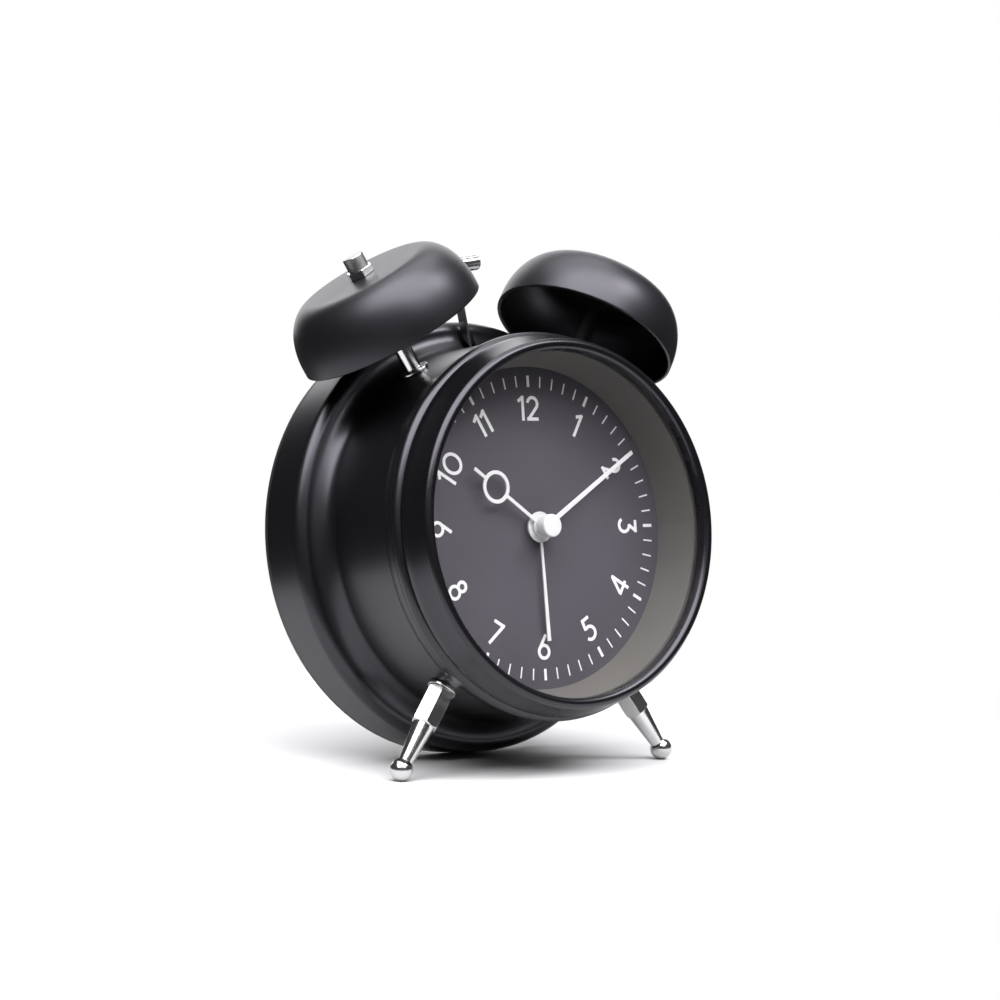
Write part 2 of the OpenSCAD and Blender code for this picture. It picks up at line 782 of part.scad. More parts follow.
// A coil spring from the bay's wall to the battery, as a swept round wire
module battery_spring() {
    wire = 0.35;
    turns = 2;
    steps = 14;
    sides = 6;
    rings = turns * steps;
    length = bay_x - battery_l / 2 - 2 * wire - 0.1;
    centres = [for (i = [0:rings]) let (t = i / rings, a = 360 * turns * t, r = 4.6 - 2 * t)
        [-bay_x + wire + 0.05 + length * t, battery_y + r * cos(a), bay_z + r * sin(a)]];
    points = [for (i = [0:rings], j = [0:sides - 1])
        let (a = 360 * turns * i / rings, b = 360 * j / sides)
            centres[i] + wire * [sin(b), cos(b) * cos(a), cos(b) * sin(a)]];
    walls = [for (i = [0:rings - 1], j = [0:sides - 1]) let (k = (j + 1) % sides)
        [i * sides + j, i * sides + k, (i + 1) * sides + k, (i + 1) * sides + j]];
    ends = [[for (j = [sides - 1:-1:0]) j], [for (j = [0:sides - 1]) rings * sides + j]];
    color("#d0d2d4") stand() polyhedron(points, concat(walls, ends));
}

// A bell on the side given, with its post hole
module bell(side) {
    stand() radial(side * bell_angle, bell_y) translate([0, 0, rim_at]) difference() {
        rotate_extrude() polygon(concat(
            bell_profile(0), [[0, bell_h], [0, bell_h - bell_wall]], reversed(bell_profile(bell_wall))
        ));
        translate([0, 0, bell_h - 3]) cylinder(r = thread_d / 2 + hole_gap, h = 6);
    }
}

module left_bell() { color("#1b1b1d") bell(-1); }

module right_bell() { color("#1b1b1d") bell(1); }

module on_bell_posts() {
    for (side = [-1, 1]) radial(side * bell_angle, bell_y) children();
}

module bell_posts() {
    shoulder = case_r + 0.02 + washer_t;
    color("#d7d9dc") stand() on_bell_posts() {
        translate([0, 0, shoulder]) cylinder(r = post_d / 2, h = bell_top_at - bell_wall - shoulder);
        translate([0, 0, case_in - 5])
            cylinder(r = thread_d / 2, h = bell_top_at + nut_h + 1.6 - case_in + 5);
    }
}

// A washer lying on the case at distance at
module washer(at, t) {
    translate([0, 0, at]) difference() {
        cylinder(r = washer_d / 2, h = t);
        translate([0, 0, -1]) cylinder(r = thread_d / 2, h = t + 2);
    }
}

// A hex nut at distance at
module nut(at, h) {
    translate([0, 0, at]) difference() {
        cylinder(r = nut_ac / 2, h = h, $fn = 6);
        translate([0, 0, -1]) cylinder(r = thread_d / 2, h = h + 2);
    }
}

module bell_washers() {
    color("#d7d9dc") stand() on_bell_posts() washer(case_r + 0.02, washer_t);
}

module bell_nuts() {
    color("#c9cbce") stand() on_bell_posts() nut(bell_top_at, nut_h);
}

module bell_cap_nuts() {
    dome = 0.45;
    color("#d7d9dc") stand() on_bell_posts() translate([0, 0, bell_top_at + nut_h]) difference() {
        rotate_extrude() polygon(concat(
            [[0, 0], [cap_nut_d / 2, 0], [cap_nut_d / 2, cap_nut_h - dome]],
            quarter(0, cap_nut_h - dome, cap_nut_d / 2, dome, 8)
        ));
        translate([0, 0, -1]) cylinder(r = thread_d / 2, h = 2.6);
    }
}

module post_lock_nuts() {
    color("#c9cbce") stand() on_bell_posts() nut(case_in - nut_h - 0.35, nut_h);
}

// A turned leg: thread, hexagon, cone and ball
module leg(side) {
    stand() radial(side * (180 - leg_angle), leg_y) {
        translate([0, 0, case_in - 5]) cylinder(r = thread_d / 2, h = leg_hex_at - case_in + 6);
        translate([0, 0, leg_hex_at]) intersection() {
            cylinder(r = nut_ac / 2, h = leg_hex_l, $fn = 6);
            rotate_extrude() polygon([
                [0, 0], [nut_ac / 2 - 0.6, 0], [nut_ac / 2, 0.5], [nut_ac / 2, leg_hex_l - 0.5],
                [nut_ac / 2 - 0.6, leg_hex_l], [0, leg_hex_l]
            ]);
        }
        translate([0, 0, leg_cone_at]) cylinder(r1 = leg_cone_r, r2 = leg_tip_r, h = leg_cone_l);
        translate([0, 0, ball_at]) sphere(r = ball_r);
    }
}

module left_leg() { color("#d7d9dc") leg(-1); }

module right_leg() { color("#d7d9dc") leg(1); }

module on_legs() {
    for (side = [-1, 1]) radial(side * (180 - leg_angle), leg_y) children();
}

module leg_washers() {
    color("#d7d9dc") stand() on_legs() washer(case_r + 0.02, washer_t + 0.18);
}

module leg_lock_nuts() {
    color("#c9cbce") stand() on_legs() nut(case_in - nut_h - 0.35, nut_h);
}

module ring_bracket() {
    color("#a9abad") stand() difference() {
        union() {
            layer(bracket_y, bracket_t) {
                translate([-foot_x - 3, foot_z - 3]) square([2 * foot_x + 6, pivot_z - 4 - foot_z + 3]);
                translate([-ear_half, foot_z]) square([2 * ear_half, pivot_z + 1.9 - foot_z]);
            }
            rod(0.8, bracket_y, bracket_t + gear_t + 0.6, 0, crank_z);
        }
        for (side = [-1, 1]) rod(1 + hole_gap, bracket_y - 1, 4, side * foot_x, foot_z);
        rod(1, bracket_y - 1, 4, 0, pivot_z);
        rod(1.6, bracket_y - 1, 4, motor_x, motor_z);
    }
}

module bracket_screws() {
    color("#b9bbbe") stand() for (side = [-1, 1]) {
        rod(2, bracket_y + bracket_t, 1, side * foot_x, foot_z);
        rod(1, movement_end + 0.4, bracket_y + bracket_t - movement_end, side * foot_x, foot_z);
    }
}

module ring_motor() {
    color("#c4c6c9") stand() difference() {
        union() {
            rod(motor_r, bracket_y - motor_l, motor_l, motor_x, motor_z);
            rod(1.5, bracket_y - 1, 1.4, motor_x, motor_z);
        }
        rod(arbor_r + run, bracket_y - 8, 12, motor_x, motor_z);
    }
}

module motor_pinion() {
    color("#d9b65c") stand() {
        rod(arbor_r, bracket_y - 7.6, crank_gear_y + gear_t - bracket_y + 7.6, motor_x, motor_z);
        translate([motor_x, 0, motor_z])
            gear(motor_teeth, gear_module, crank_gear_y, gear_t, motor_dir + 180 + 180 / motor_teeth);
    }
}

module crank_gear() {
    color("#e8e4d4") stand() difference() {
        union() {
            translate([0, 0, crank_z]) gear(crank_teeth, gear_module, crank_gear_y, gear_t, motor_dir);
            rod(pin_r, crank_gear_y, lever_y + lever_t + 0.8 - crank_gear_y, 0, crank_z + crank_throw);
        }
        rod(0.8 + run, 0, 60, 0, crank_z);
    }
}

module hammer_pivot() {
    color("#b9bbbe") stand() {
        rod(1, bracket_y, hub_end + 0.6 - bracket_y, 0, pivot_z);
        rod(1.8, hub_end + 0.3, 0.8, 0, pivot_z);
    }
}

// Draws the hammer's pieces upright and leans them to their rest about the pivot
module swung() {
    stand() translate([0, 0, pivot_z]) rotate([0, -hammer_rest, 0]) children();
}

// The space that the spring strip fills, from the lever's hub to the head's middle
module strip() {
    translate([-strip_t / 2, hammer_y - strip_w / 2, grip_at])
        cube([strip_t, strip_w, head_z - pivot_z - grip_at]);
}

module hammer_lever() {
    fork_l = crank_arm + crank_throw + 2;
    half = fork_half + fork_arm;
    web = 4.2;
    color("#e8e4d4") swung() difference() {
        union() {
            layer(lever_y, lever_t) difference() {
                union() {
                    translate([-half, -fork_l]) square([2 * half, fork_l - web]);
                    polygon([[-half, -web], [half, -web], [hub_r, 0], [-hub_r, 0]]);
                    circle(r = hub_r);
                }
                translate([-fork_half, -fork_l - 1]) square([2 * fork_half, fork_l - web - 1]);
            }
            rod(hub_r - 0.5, crank_gear_y, lever_y - crank_gear_y);
            translate([-1.5, hammer_y - strip_w / 2 - grip_wall, 0])
                cube([3, strip_w + 2 * grip_wall, 3.6]);
        }
        rod(1 + run, 0, 60);
        strip();
    }
}

module hammer_arm() { color("#c9cbce") swung() strip(); }

module hammer_head() {
    color("#d7d9dc") swung() difference() {
        translate([-head_l / 2, hammer_y, head_z - pivot_z]) rotate([0, 90, 0])
            cylinder(r = head_d / 2, h = head_l);
        strip();
    }
}

case_shell();
bezel();
lens();
dial_ring();
dial();
minute_marks();
dial_carrier();
minute_hand();
hand_cap();
hour_hand();
alarm_hand();
minute_arbor();
motion_wheel();
hour_wheel();
alarm_wheel();
centre_wheel();
step_wheel();
rotor();
stator();
coil();
circuit_board();
movement_case();
movement_cover();
movement_screws();
time_set_shaft();
time_set_knob();
alarm_set_shaft();
alarm_set_knob();
alarm_switch();
rear_cover();
cover_brackets();
cover_screws();
battery_door();
battery();
battery_contact();
battery_spring();
left_bell();
right_bell();
bell_posts();
bell_washers();
bell_nuts();
bell_cap_nuts();
post_lock_nuts();
left_leg();
right_leg();
leg_washers();
leg_lock_nuts();
ring_bracket();
bracket_screws();
ring_motor();
motor_pinion();
crank_gear();
hammer_pivot();
hammer_lever();
hammer_arm();
hammer_head();
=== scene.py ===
"""Looks of a twin-bell alarm clock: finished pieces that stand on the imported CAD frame.

Sizes are millimetres along the clock's own axes: X towards three o'clock, Y from the dial into
the case and Z towards twelve. ClockAxes turns them into metres in the frame's axes.
"""

import json
import logging
import math
from dataclasses import dataclass, field
from enum import Enum

import bmesh
import bpy
from mathutils import Matrix, Vector

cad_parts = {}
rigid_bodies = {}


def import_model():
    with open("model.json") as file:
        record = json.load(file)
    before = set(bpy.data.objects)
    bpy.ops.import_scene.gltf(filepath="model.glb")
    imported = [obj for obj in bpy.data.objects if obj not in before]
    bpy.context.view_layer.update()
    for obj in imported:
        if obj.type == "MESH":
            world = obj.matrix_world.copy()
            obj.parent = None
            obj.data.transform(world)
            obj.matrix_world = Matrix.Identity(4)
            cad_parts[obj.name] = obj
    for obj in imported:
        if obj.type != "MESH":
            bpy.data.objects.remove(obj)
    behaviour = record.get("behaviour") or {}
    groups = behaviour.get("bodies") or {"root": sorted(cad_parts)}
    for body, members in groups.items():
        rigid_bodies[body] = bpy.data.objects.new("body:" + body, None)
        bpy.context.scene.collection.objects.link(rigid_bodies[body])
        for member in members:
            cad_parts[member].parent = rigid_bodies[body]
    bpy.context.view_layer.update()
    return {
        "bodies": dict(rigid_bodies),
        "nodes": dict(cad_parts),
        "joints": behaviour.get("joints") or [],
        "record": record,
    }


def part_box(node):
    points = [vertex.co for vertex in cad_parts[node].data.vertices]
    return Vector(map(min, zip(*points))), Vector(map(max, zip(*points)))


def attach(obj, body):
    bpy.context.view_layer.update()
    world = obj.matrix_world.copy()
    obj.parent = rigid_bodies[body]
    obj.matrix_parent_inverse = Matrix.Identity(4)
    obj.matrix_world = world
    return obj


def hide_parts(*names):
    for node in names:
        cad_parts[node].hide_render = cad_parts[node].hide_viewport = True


LOG = logging.getLogger("alarm_clock")
MILLIMETRE = 0.001
Colour = tuple[float, float, float]
Profile = list[tuple[float, float]]
ALONG_CLOCK = Matrix.Rotation(-math.pi / 2, 4, "X")
LAMP_COLOUR = (0.99, 0.978, 1.0)
ROOM_COLOUR = (0.06, 0.06, 0.062, 1.0)
BACKDROP_COLOUR = (1.0, 1.0, 1.0, 1.0)
COAT_ROUGHNESS = 0.08
NOISE_LOW = 0.3
NOISE_HIGH = 0.7
MERGE = 1e-7
NODE_MERGE = 1e-6
FLAT_ANGLE = math.radians(0.6)
BEVEL_ANGLE = math.radians(32)
FACE_WEIGHT = 100
LAYER_STEP = 0.004
LAYERS = 4
COOL_MIRROR = (0.92, 0.895, 1.0)


# ------------------------------------------------------------------ finishes


class Grain(Enum):
    """The small-scale surface of a finish."""

    LACQUER = "lacquer"
    POWDER = "powder"
    MOULDED = "moulded"
    PLATED = "plated"
    BRUSHED = "brushed"
    PRINTED = "printed"


@dataclass(frozen=True)
class GrainSizes:
    """How a grain is patterned.

    Attributes:
        scale: Pattern repeats per metre, for the relief.
        relief: Height of the relief, in metres.
        stretch: Scale of the pattern along X, Y and Z.
        patches: Pattern repeats per metre, for the slow change of gloss and tone.
    """

    scale: float
    relief: float
    stretch: tuple[float, float, float] = (1.0, 1.0, 1.0)
    patches: float = 60.0


GRAINS = {
    Grain.LACQUER: GrainSizes(scale=500.0, relief=0.0000003),
    Grain.POWDER: GrainSizes(scale=2600.0, relief=0.0000045),
    Grain.MOULDED: GrainSizes(scale=1500.0, relief=0.000012),
    Grain.PLATED: GrainSizes(scale=600.0, relief=0.0000001, patches=220.0),
    Grain.BRUSHED: GrainSizes(scale=700.0, relief=0.000006, stretch=(1.0, 9.0, 1.0), patches=300.0),
    Grain.PRINTED: GrainSizes(scale=3200.0, relief=0.000003, patches=40.0),
}


@dataclass(frozen=True)
class Finish:
    """A surface finish, made as a procedural material.

    Attributes:
        name: The material's name.
        colour: Linear base colour.
        roughness: Middle of the roughness range.
        grain: The small-scale surface.
        metallic: 1 for bare or plated metal.
        gloss_spread: How far roughness wanders to each side.
        tone_spread: Share by which the colour wanders to each side.
        coat: Weight of a clear coat.
        specular: Specular level.
        mirror: Tint of what it mirrors.
    """

    name: str
    colour: Colour
    roughness: float
    grain: Grain
    metallic: float = 0.0
    gloss_spread: float = 0.03
    tone_spread: float = 0.06
    coat: float = 0.0
    specular: float = 0.5
    mirror: Colour = (1.0, 1.0, 1.0)

    def build(self) -> bpy.types.Material:
        """Builds the material.

        Returns:
            The material, with relief, gloss and tone from noise on Object coordinates.
        """
        sizes = GRAINS[self.grain]
        material = bpy.data.materials.new(self.name)
        material.use_nodes = True
        tree = material.node_tree
        shader = tree.nodes["Principled BSDF"]
        shader.inputs["Metallic"].default_value = self.metallic
        shader.inputs["Coat Weight"].default_value = self.coat
        shader.inputs["Coat Roughness"].default_value = COAT_ROUGHNESS
        shader.inputs["Specular IOR Level"].default_value = self.specular
        shader.inputs["Specular Tint"].default_value = (*self.mirror, 1.0)
        place = tree.nodes.new("ShaderNodeTexCoord").outputs["Object"]
        self._patches(tree, place, shader, sizes)
        self._relief(tree, place, shader, sizes)
        return material

    def _patches(
        self, tree: bpy.types.NodeTree, place: bpy.types.NodeSocket, shader: bpy.types.Node,
        sizes: GrainSizes,
    ) -> None:
        """Drives gloss and tone from a slow noise.

        Args:
            tree: The material's node tree.
            place: The socket with Object coordinates.
            shader: The Principled shader.
            sizes: The grain's sizes.
        """
        slow = tree.nodes.new("ShaderNodeTexNoise")
        slow.inputs["Scale"].default_value = sizes.patches
        slow.inputs["Detail"].default_value = 4.0
        tree.links.new(place, slow.inputs["Vector"])
        gloss = tree.nodes.new("ShaderNodeMapRange")
        gloss.inputs["From Min"].default_value = NOISE_LOW
        gloss.inputs["From Max"].default_value = NOISE_HIGH
        gloss.inputs["To Min"].default_value = self.roughness - self.gloss_spread
        gloss.inputs["To Max"].default_value = self.roughness + self.gloss_spread
        tree.links.new(slow.outputs["Fac"], gloss.inputs["Value"])
        tree.links.new(gloss.outputs["Result"], shader.inputs["Roughness"])
        tone = tree.nodes.new("ShaderNodeValToRGB")
        for stop, share in zip(tone.color_ramp.elements, (1 - self.tone_spread, 1 + self.tone_spread)):
            stop.color = (*(min(1.0, value * share) for value in self.colour), 1.0)
        tone.color_ramp.elements[0].position = NOISE_LOW
        tone.color_ramp.elements[1].position = NOISE_HIGH
        tree.links.new(slow.outputs["Fac"], tone.inputs["Fac"])
        tree.links.new(tone.outputs["Color"], shader.inputs["Base Color"])

    def _relief(
        self, tree: bpy.types.NodeTree, place: bpy.types.NodeSocket, shader: bpy.types.Node,
        sizes: GrainSizes,
    ) -> None:
        """Adds the fine relief as a bump.

        Args:
            tree: The material's node tree.
            place: The socket with Object coordinates.
            shader: The Principled shader.
            sizes: The grain's sizes.
        """
        stretch = tree.nodes.new("ShaderNodeMapping")
        stretch.inputs["Scale"].default_value = sizes.stretch
        tree.links.new(place, stretch.inputs["Vector"])
        fine = tree.nodes.new("ShaderNodeTexNoise")
        fine.inputs["Scale"].default_value = sizes.scale
        fine.inputs["Detail"].default_value = 3.0
        tree.links.new(stretch.outputs["Vector"], fine.inputs["Vector"])
        bump = tree.nodes.new("ShaderNodeBump")
        bump.inputs["Strength"].default_value = 1.0
        bump.inputs["Distance"].default_value = sizes.relief
        tree.links.new(fine.outputs["Fac"], bump.inputs["Height"])
        tree.links.new(bump.outputs["Normal"], shader.inputs["Normal"])


@dataclass(frozen=True)
class ClearGlass:
    """Flat clear glass that lets light straight through and mirrors by Fresnel.

    Attributes:
        name: The material's name.
        ior: The glass's index of refraction.
        roughness: Roughness of its mirror side.
        tint: Colour of what passes through.
    """

    name: str = "clear_glass"
    ior: float = 1.42
    roughness: float = 0.02
    tint: Colour = (0.985, 0.985, 0.985)

    def build(self) -> bpy.types.Material:
        """Builds the material.

        Returns:
            The material, a Fresnel mix of a transparent and a glossy shader. Light that leaves
            the glass meets no mirror, because it isn't bent on its way in.
        """
        material = bpy.data.materials.new(self.name)
        material.use_nodes = True
        tree = material.node_tree
        tree.nodes.remove(tree.nodes["Principled BSDF"])
        through = tree.nodes.new("ShaderNodeBsdfTransparent")
        through.inputs["Color"].default_value = (*self.tint, 1.0)
        mirror = tree.nodes.new("ShaderNodeBsdfAnisotropic")
        mirror.inputs["Roughness"].default_value = self.roughness
        edge = tree.nodes.new("ShaderNodeFresnel")
        edge.inputs["IOR"].default_value = self.ior
        side = tree.nodes.new("ShaderNodeNewGeometry")
        front = tree.nodes.new("ShaderNodeMath")
        front.operation = "SUBTRACT"
        front.inputs[0].default_value = 1.0
        tree.links.new(side.outputs["Backfacing"], front.inputs[1])
        share = tree.nodes.new("ShaderNodeMath")
        share.operation = "MULTIPLY"
        tree.links.new(edge.outputs["Fac"], share.inputs[0])
        tree.links.new(front.outputs["Value"], share.inputs[1])
        mix = tree.nodes.new("ShaderNodeMixShader")
        tree.links.new(share.outputs["Value"], mix.inputs["Fac"])
        tree.links.new(through.outputs["BSDF"], mix.inputs[1])
        tree.links.new(mirror.outputs["BSDF"], mix.inputs[2])
        tree.links.new(mix.outputs["Shader"], tree.nodes["Material Output"].inputs["Surface"])
        return material


@dataclass(frozen=True)
class CellSleeve(Finish):
    """The printed sleeve of a battery cell: a dark body and a warm band at the plus end.

    Attributes:
        band: Linear colour of the plus end's band.
        metal: Linear colour of the bare ends.
        band_from: Where the band starts along X, in metres.
        bare_from: Half the sleeve's length along X, in metres.
        reach: Half the length that the colours are laid out over, in metres.
    """

    band: Colour = (0.46, 0.21, 0.06)
    metal: Colour = (0.62, 0.62, 0.6)
    band_from: float = 0.012
    bare_from: float = 0.0246
    reach: float = 0.03

    def build(self) -> bpy.types.Material:
        """Builds the material.

        Returns:
            The material, with the sleeve's colours laid out along the cell.
        """
        material = super().build()
        tree = material.node_tree
        shader = tree.nodes["Principled BSDF"]
        place = tree.nodes.new("ShaderNodeTexCoord").outputs["Object"]
        split = tree.nodes.new("ShaderNodeSeparateXYZ")
        tree.links.new(place, split.inputs["Vector"])
        along = tree.nodes.new("ShaderNodeMapRange")
        along.inputs["From Min"].default_value = -self.reach
        along.inputs["From Max"].default_value = self.reach
        tree.links.new(split.outputs["X"], along.inputs["Value"])
        ramp = tree.nodes.new("ShaderNodeValToRGB")
        ramp.color_ramp.interpolation = "CONSTANT"
        stops = ramp.color_ramp.elements
        stops[0].color = (*self.metal, 1.0)
        stops[1].position = 0.5 - self.bare_from / (2 * self.reach)
        stops[1].color = (*self.colour, 1.0)
        for position, colour in (
            (0.5 + self.band_from / (2 * self.reach), self.band),
            (0.5 + self.bare_from / (2 * self.reach), self.metal),
        ):
            stop = stops.new(position)
            stop.color = (*colour, 1.0)
        tree.links.new(along.outputs["Result"], ramp.inputs["Fac"])
        tree.links.new(ramp.outputs["Color"], shader.inputs["Base Color"])
        return material


class Look(Enum):
    """The finishes that a piece can have."""

    LACQUER = Finish(
        "black_lacquer", (0.0022, 0.0022, 0.0027), 0.32, Grain.LACQUER, gloss_spread=0.015,
        specular=0.55, mirror=COOL_MIRROR,
    )
    BELL = Finish(
        "bell_black", (0.0034, 0.0033, 0.0040), 0.41, Grain.POWDER, gloss_spread=0.02,
        specular=0.55, mirror=COOL_MIRROR,
    )
    BEZEL = Finish(
        "bezel_black", (0.0022, 0.0022, 0.0027), 0.28, Grain.LACQUER, gloss_spread=0.015,
        specular=0.5, mirror=COOL_MIRROR,
    )
    RING = Finish("ring_grey", (0.098, 0.094, 0.087), 0.55, Grain.PRINTED)
    DIAL = Finish("dial_grey", (0.060, 0.0535, 0.066), 0.62, Grain.PRINTED, tone_spread=0.03)
    MARKS = Finish("mark_white", (0.74, 0.74, 0.74), 0.5, Grain.PRINTED, tone_spread=0.01)
    HANDS = Finish("hand_white", (0.6, 0.6, 0.6), 0.38, Grain.PRINTED, tone_spread=0.01)
    CHROME = Finish("chrome", (0.56, 0.56, 0.56), 0.19, Grain.PLATED, metallic=1.0, tone_spread=0.02)
    SATIN = Finish("satin_chrome", (0.4, 0.4, 0.396), 0.4, Grain.PLATED, metallic=1.0, tone_spread=0.02)
    STEEL = Finish("steel", (0.56, 0.56, 0.57), 0.3, Grain.BRUSHED, metallic=1.0, gloss_spread=0.08)
    BRASS = Finish("brass", (0.68, 0.46, 0.19), 0.28, Grain.BRUSHED, metallic=1.0)
    PLASTIC = Finish("black_plastic", (0.016, 0.016, 0.0165), 0.44, Grain.MOULDED)
    IVORY = Finish("ivory_plastic", (0.74, 0.69, 0.54), 0.42, Grain.MOULDED)
    WHITE = Finish("white_plastic", (0.72, 0.72, 0.68), 0.45, Grain.MOULDED)
    BOARD = Finish("circuit_green", (0.024, 0.15, 0.05), 0.4, Grain.PRINTED, coat=0.4)
    COPPER = Finish("copper", (0.62, 0.24, 0.10), 0.25, Grain.BRUSHED, metallic=1.0)
    SLEEVE = CellSleeve("battery_wrap", (0.02, 0.02, 0.024), 0.24, Grain.LACQUER)
    SWITCH = Finish("switch_grey", (0.48, 0.48, 0.47), 0.45, Grain.MOULDED)
    GLASS = ClearGlass()


class Paintbox:
    """Builds each finish once and hands out its material."""

    def __init__(self) -> None:
        """Starts with nothing built."""
        self._made: dict[Look, bpy.types.Material] = {}

    def __getitem__(self, look: Look) -> bpy.types.Material:
        """Returns the material of a finish."""
        if look not in self._made:
            self._made[look] = look.value.build()
        return self._made[look]


# ------------------------------------------------------------------ forms


def arc(x: float, y: float, r: float, start: float, end: float, steps: int = 28) -> Profile:
    """Points on an arc.

    Args:
        x: Centre's first coordinate.
        y: Centre's second coordinate.
        r: Radius.
        start: First angle, in degrees.
        end: Last angle, in degrees.
        steps: Number of steps between them.

    Returns:
        The points, from start to end.
    """
    angles = [math.radians(start + (end - start) * i / steps) for i in range(steps + 1)]
    return [(x + r * math.cos(a), y + r * math.sin(a)) for a in angles]


def quarter(x: float, y: float, rx: float, ry: float, steps: int = 56) -> Profile:
    """Points on a quarter of an ellipse, from its outside to its top.

    Args:
        x: Centre's first coordinate.
        y: Centre's second coordinate.
        rx: Half-width.
        ry: Height.
        steps: Number of steps.

    Returns:
        The points.
    """
    angles = [math.pi / 2 * i / steps for i in range(steps + 1)]
    return [(x + rx * math.cos(a), y + ry * math.sin(a)) for a in angles]


@dataclass
class Form:
    """Loose points and faces of a solid, in millimetres.

    Attributes:
        points: The corners.
        faces: Each face's corners, as indices.
    """

    points: list[Vector] = field(default_factory=list)
    faces: list[list[int]] = field(default_factory=list)

    def placed(self, matrix: Matrix) -> "Form":
        """Returns a copy moved by matrix."""
        return Form([matrix @ p for p in self.points], [list(f) for f in self.faces])

    def __add__(self, other: "Form") -> "Form":
        """Returns both forms as one."""
        start = len(self.points)
        moved = [[i + start for i in f] for f in other.faces]
        return Form(self.points + other.points, self.faces + moved)


def turned(profile: Profile, steps: int = 96, closed: bool = True) -> Form:
    """Turns a profile of radius and height about Z.

    Args:
        profile: The points, as radius and height.
        steps: Number of steps round.
        closed: Whether the last point joins the first.

    Returns:
        The turned form.
    """
    form = Form()
    count = len(profile)
    for i in range(steps):
        angle = 2 * math.pi * i / steps
        form.points += [Vector((r * math.cos(angle), r * math.sin(angle), h)) for r, h in profile]
    last = count if closed else count - 1
    for i in range(steps):
        near, far = i * count, (i + 1) % steps * count
        for j in range(last):
            k = (j + 1) % count
            form.faces.append([near + j, near + k, far + k, far + j])
    return form


def block(size: Vector, centre: Vector) -> Form:
    """A box.

    Args:
        size: Its sides.
        centre: Its middle.

    Returns:
        The form.
    """
    signs = [(x, y, z) for x in (-1, 1) for y in (-1, 1) for z in (-1, 1)]
    points = [Vector([centre[i] + s[i] * size[i] / 2 for i in range(3)]) for s in signs]
    faces = [[0, 1, 3, 2], [4, 6, 7, 5], [0, 4, 5, 1], [2, 3, 7, 6], [0, 2, 6, 4], [1, 5, 7, 3]]
    return Form(points, faces)


def ribbon(line: Profile, width: float, near: float, far: float, closed: bool = False) -> Form:
    """A flat stroke along a line in the dial's plane.

    Args:
        line: The points that its middle follows.
        width: The stroke's width.
        near: Height of its face.
        far: Height of its back.
        closed: Whether the stroke joins up with its start.

    Returns:
        The stroke, drawn in X and Y with its thickness along Z.
    """
    count = len(line)
    sides: list[tuple[Vector, Vector]] = []
    for i, spot in enumerate(line):
        before = line[i - 1] if i or closed else None
        after = line[(i + 1) % count] if i < count - 1 or closed else None
        ways = []
        if before is not None:
            ways.append(Vector((spot[0] - before[0], spot[1] - before[1])).normalized())
        if after is not None:
            ways.append(Vector((after[0] - spot[0], after[1] - spot[1])).normalized())
        way = sum(ways, Vector((0.0, 0.0))).normalized()
        across = Vector((-way.y, way.x)) * (width / 2 / max(0.4, way.dot(ways[0])))
        middle = Vector(spot)
        sides.append((middle + across, middle - across))
    form = Form()
    for a, b in sides:
        form.points += [Vector((*a, near)), Vector((*b, near)), Vector((*b, far)), Vector((*a, far))]
    for i in range(count if closed else count - 1):
        s, t = 4 * i, 4 * ((i + 1) % count)
        form.faces += [[s + j, s + (j + 1) % 4, t + (j + 1) % 4, t + j] for j in range(4)]
    if not closed:
        end = 4 * (count - 1)
        form.faces += [[3, 2, 1, 0], [end, end + 1, end + 2, end + 3]]
    return form


def radial(angle: float, depth: float, height: float = 0.0) -> Matrix:
    """Placing of a piece drawn along +Z onto a radius of the case.

    Args:
        angle: Turn from twelve towards three, in degrees.
        depth: Distance behind the dial's face.
        height: Distance from the clock's axis.

    Returns:
        The placing.
    """
    turn = Matrix.Rotation(math.radians(angle), 4, "Y")
    return Matrix.Translation((0, depth, 0)) @ turn @ Matrix.Translation((0, 0, height))


class ClockAxes:
    """Turns the clock's own axes, in millimetres, into the frame's, in metres."""

    def __init__(self, frame: dict) -> None:
        """Reads the axes from the minute hand's joint.
        """
        joint = next(j for j in frame["joints"] if j["name"] == "minute_turn")
        inward = Vector(joint["axis"]).normalized()
        right = Vector((1, 0, 0))
        up = right.cross(inward)
        turn = Matrix((right, inward, up)).transposed().to_4x4()
        self.place = Matrix.Translation(joint["pos_m"]) @ turn @ Matrix.Scale(MILLIMETRE, 4)


# ------------------------------------------------------------------ geometry nodes


